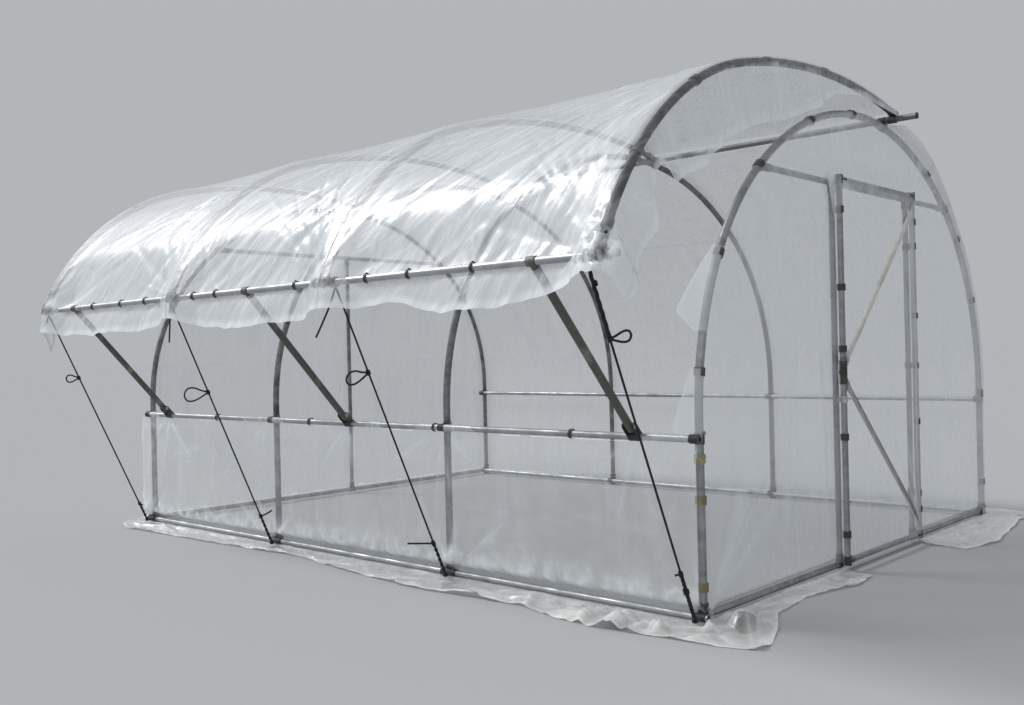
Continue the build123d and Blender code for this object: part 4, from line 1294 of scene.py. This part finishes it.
class GREENHOUSE_OT_bolts(bpy.types.Operator):
    """Bolts of the clamps, the saddles' pins and the painted shade discs in the mouths of the open tubes"""

    bl_idname = "greenhouse.bolts"
    bl_label = "Bolts and Pins"

    def execute(self, context):
        fixed = bmesh.new()
        swung = bmesh.new()
        leaf = bmesh.new()
        # the clamps' outer face from the middle of a hoop, and where their bolts are
        clamp_face = 0.0205
        ridge_bolt = (0.215, 2.083)
        rail_bolt, foot_bolt, latch_bolt = 0.70, 0.058, 0.89
        for x in HOOPS:
            add_bolt(fixed, place(x + clamp_face, *ridge_bolt), (1, 0, 0))
            for y, rail in ((-HALF_WIDTH, RAIL[0]), (HALF_WIDTH, BACK_RAIL)):
                add_bolt(fixed, place(x + clamp_face, y, rail_bolt), (1, 0, 0))
                add_bolt(fixed, place(x + BOLT_FACE, y, foot_bolt), (1, 0, 0))
                add_bolt(fixed, place(x - 0.012, rail, BASE_HEIGHT + SMALL_TUBE + 0.0042), (0, 0, 1))
        reach = 0.052
        for x in STRUTS:
            spot = place(x, *RAIL) + Vector((reach / 2, -0.0385, 0.0425))
            add_bolt(fixed, spot, (1, 0, 0), 0.007, reach)
        for x in ARCS:
            for distance in (FLAP_TAIL, ARC_LENGTH):
                y, z, _, _ = FLAP_LINE.spot(distance)
                add_bolt(swung, place(x + BOLT_FACE, y, z), (1, 0, 0))
            add_bolt(swung, place(x + 0.012, EAVE[0], EAVE[1] - 0.0188), (0, 0, -1))
        for y, side in ((LATCH_STILE, 1), (HINGE_STILE, -1)):
            for z in (DOOR_BOTTOM + SMALL_TUBE, DOOR_TOP - SMALL_TUBE):
                add_bolt(leaf, place(DOOR_X - DOOR_FACE, y + side * 0.035, z), (-1, 0, 0), 0.005)
        add_bolt(leaf, place(DOOR_X - DOOR_FACE, LATCH_STILE, latch_bolt), (-1, 0, 0), 0.005)
        for name, shape, body in (
            ("frame_bolts", fixed, "frame"), ("flap_bolts", swung, "flap"), ("door_bolts", leaf, "door"),
        ):
            dress(solid_piece(name, shape, smooth=False), "bolt", body)
        for name, body, tube, ends in (
            ("eave_mouth_shades", "flap", EAVE_TUBE, ((2.1001, EAVE),)),
            ("rail_mouth_shades", "frame", SMALL_TUBE, ((2.0201, RAIL), (2.0401, (RAIL[0], BASE_HEIGHT)))),
        ):
            shape = bmesh.new()
            # painted shade: a thin near-black disc just inside each open tube end stands for the shade in its
            # mouth
            bore = tube - 0.0018
            for reach, line in ends:
                for side in (1, -1):
                    turn = stand(place(side * reach, *line), (side, 0, 0), (0, 0, 1))
                    add_cone(shape, turn, 20, bore, bore, 0.0006)
            dress(solid_piece(name, shape, smooth=False), "bore", body)
        return {"FINISHED"}


class GREENHOUSE_OT_stage(bpy.types.Operator):
    """Pale floor and sky, soft lamps and the camera"""

    bl_idname = "greenhouse.stage"
    bl_label = "Stage"

    def execute(self, context):
        scene = context.scene
        look = scene.greenhouse_stage
        shape = bmesh.new()
        bmesh.ops.create_grid(shape, x_segments=1, y_segments=1, size=400)
        mesh = bpy.data.meshes.new("floor")
        shape.to_mesh(mesh)
        shape.free()
        floor = linked("floor", mesh)
        paint = Paint("floor")
        coat(floor, paint.finish(Base_Color=colour4(look.floor), Roughness=0.95, Specular_IOR_Level=0.0))

        world = bpy.data.worlds.new("sky")
        world.use_nodes = True
        sky = Nodes(world.node_tree)
        light = sky.tree.nodes["Background"]
        sky.feed(light, {"Color": (0.90, 0.95, 1.0, 1), "Strength": 0.48 * look.light})
        pale = (look.floor[0], look.floor[1] * 1.028, look.floor[2] * 1.053, 1)
        seen = sky.node("ShaderNodeBackground", None, {"Color": pale})
        by_eye, by_gloss, by_glass = (
            sky.node("ShaderNodeLightPath", output=ray)
            for ray in ("Is Camera Ray", "Is Glossy Ray", "Is Transmission Ray")
        )
        layers = {0: (by_eye + by_gloss + by_glass).limit(), 1: Value(sky, light.outputs[0]), 2: seen}
        sky.show(sky.node("ShaderNodeMixShader", None, layers), "World Output")
        scene.world = world

        for name, away, strength, spread in (
            ("key", (-0.67, -0.30, 0.68), 2.2, 18),
            ("fill", (0.35, -0.75, 0.56), 0.45, 70),
        ):
            lamp = bpy.data.lights.new(name, "SUN")
            lamp.energy = strength * look.light
            lamp.angle = math.radians(spread)
            holder = bpy.data.objects.new(name, lamp)
            holder.rotation_euler = (-Vector(away)).to_track_quat("-Z", "Y").to_euler()
            scene.collection.objects.link(holder)

        camera = bpy.data.cameras.new("camera")
        camera.sensor_width = 36.0
        # the distance to the picture, as a share of its width
        camera.lens = 1028.837 / 1024 * camera.sensor_width
        holder = bpy.data.objects.new("camera", camera)
        yaw, pitch, roll = 0.74248, 0.00045, -0.02350
        ahead = Vector((-math.sin(yaw) * math.cos(pitch), math.cos(yaw) * math.cos(pitch), math.sin(pitch)))
        level = ahead.cross(Vector((0, 0, 1))).normalized()
        upright = level.cross(ahead)
        right = level * math.cos(roll) + upright * math.sin(roll)
        up = upright * math.cos(roll) - level * math.sin(roll)
        turn = Matrix((right, up, -ahead)).transposed().to_4x4()
        holder.matrix_world = Matrix.Translation(place(4.05171, -4.74153, 1.01034)) @ turn
        scene.collection.objects.link(holder)
        scene.camera = holder
        scene.view_settings.view_transform = "Standard"
        return {"FINISHED"}


class GREENHOUSE_PT_panel(bpy.types.Panel):
    """Sizes, colours and steps of the greenhouse"""

    bl_label = "Greenhouse"
    bl_idname = "GREENHOUSE_PT_panel"
    bl_space_type = "VIEW_3D"
    bl_region_type = "UI"
    bl_category = "Greenhouse"

    def draw(self, context):
        for name in LOOKS:
            group = getattr(context.scene, name)
            for key in group.__annotations__:
                self.layout.prop(group, key)
        for step in STEPS:
            self.layout.operator(step.bl_idname)


LOOKS = {
    "greenhouse_film": FilmLook,
    "greenhouse_steel": SteelLook,
    "greenhouse_rope": RopeLook,
    "greenhouse_stage": StageLook,
}
STEPS = (
    GREENHOUSE_OT_stage,
    GREENHOUSE_OT_finishes,
    GREENHOUSE_OT_roof,
    GREENHOUSE_OT_back,
    GREENHOUSE_OT_gable,
    GREENHOUSE_OT_far_gable,
    GREENHOUSE_OT_wall,
    GREENHOUSE_OT_door,
    GREENHOUSE_OT_skirt,
    GREENHOUSE_OT_ropes,
    GREENHOUSE_OT_clips,
    GREENHOUSE_OT_bolts,
)


def register():
    for name, look in LOOKS.items():
        bpy.utils.register_class(look)
        setattr(bpy.types.Scene, name, PointerProperty(type=look))
    for step in STEPS:
        bpy.utils.register_class(step)
    bpy.utils.register_class(GREENHOUSE_PT_panel)


def unregister():
    bpy.utils.unregister_class(GREENHOUSE_PT_panel)
    for step in reversed(STEPS):
        bpy.utils.unregister_class(step)
    for name, look in LOOKS.items():
        delattr(bpy.types.Scene, name)
        bpy.utils.unregister_class(look)


def main():
    register()
    for step in STEPS:
        group, name = step.bl_idname.split(".")
        getattr(getattr(bpy.ops, group), name)()
    bpy.context.view_layer.update()


if __name__ == "__main__":
    main()
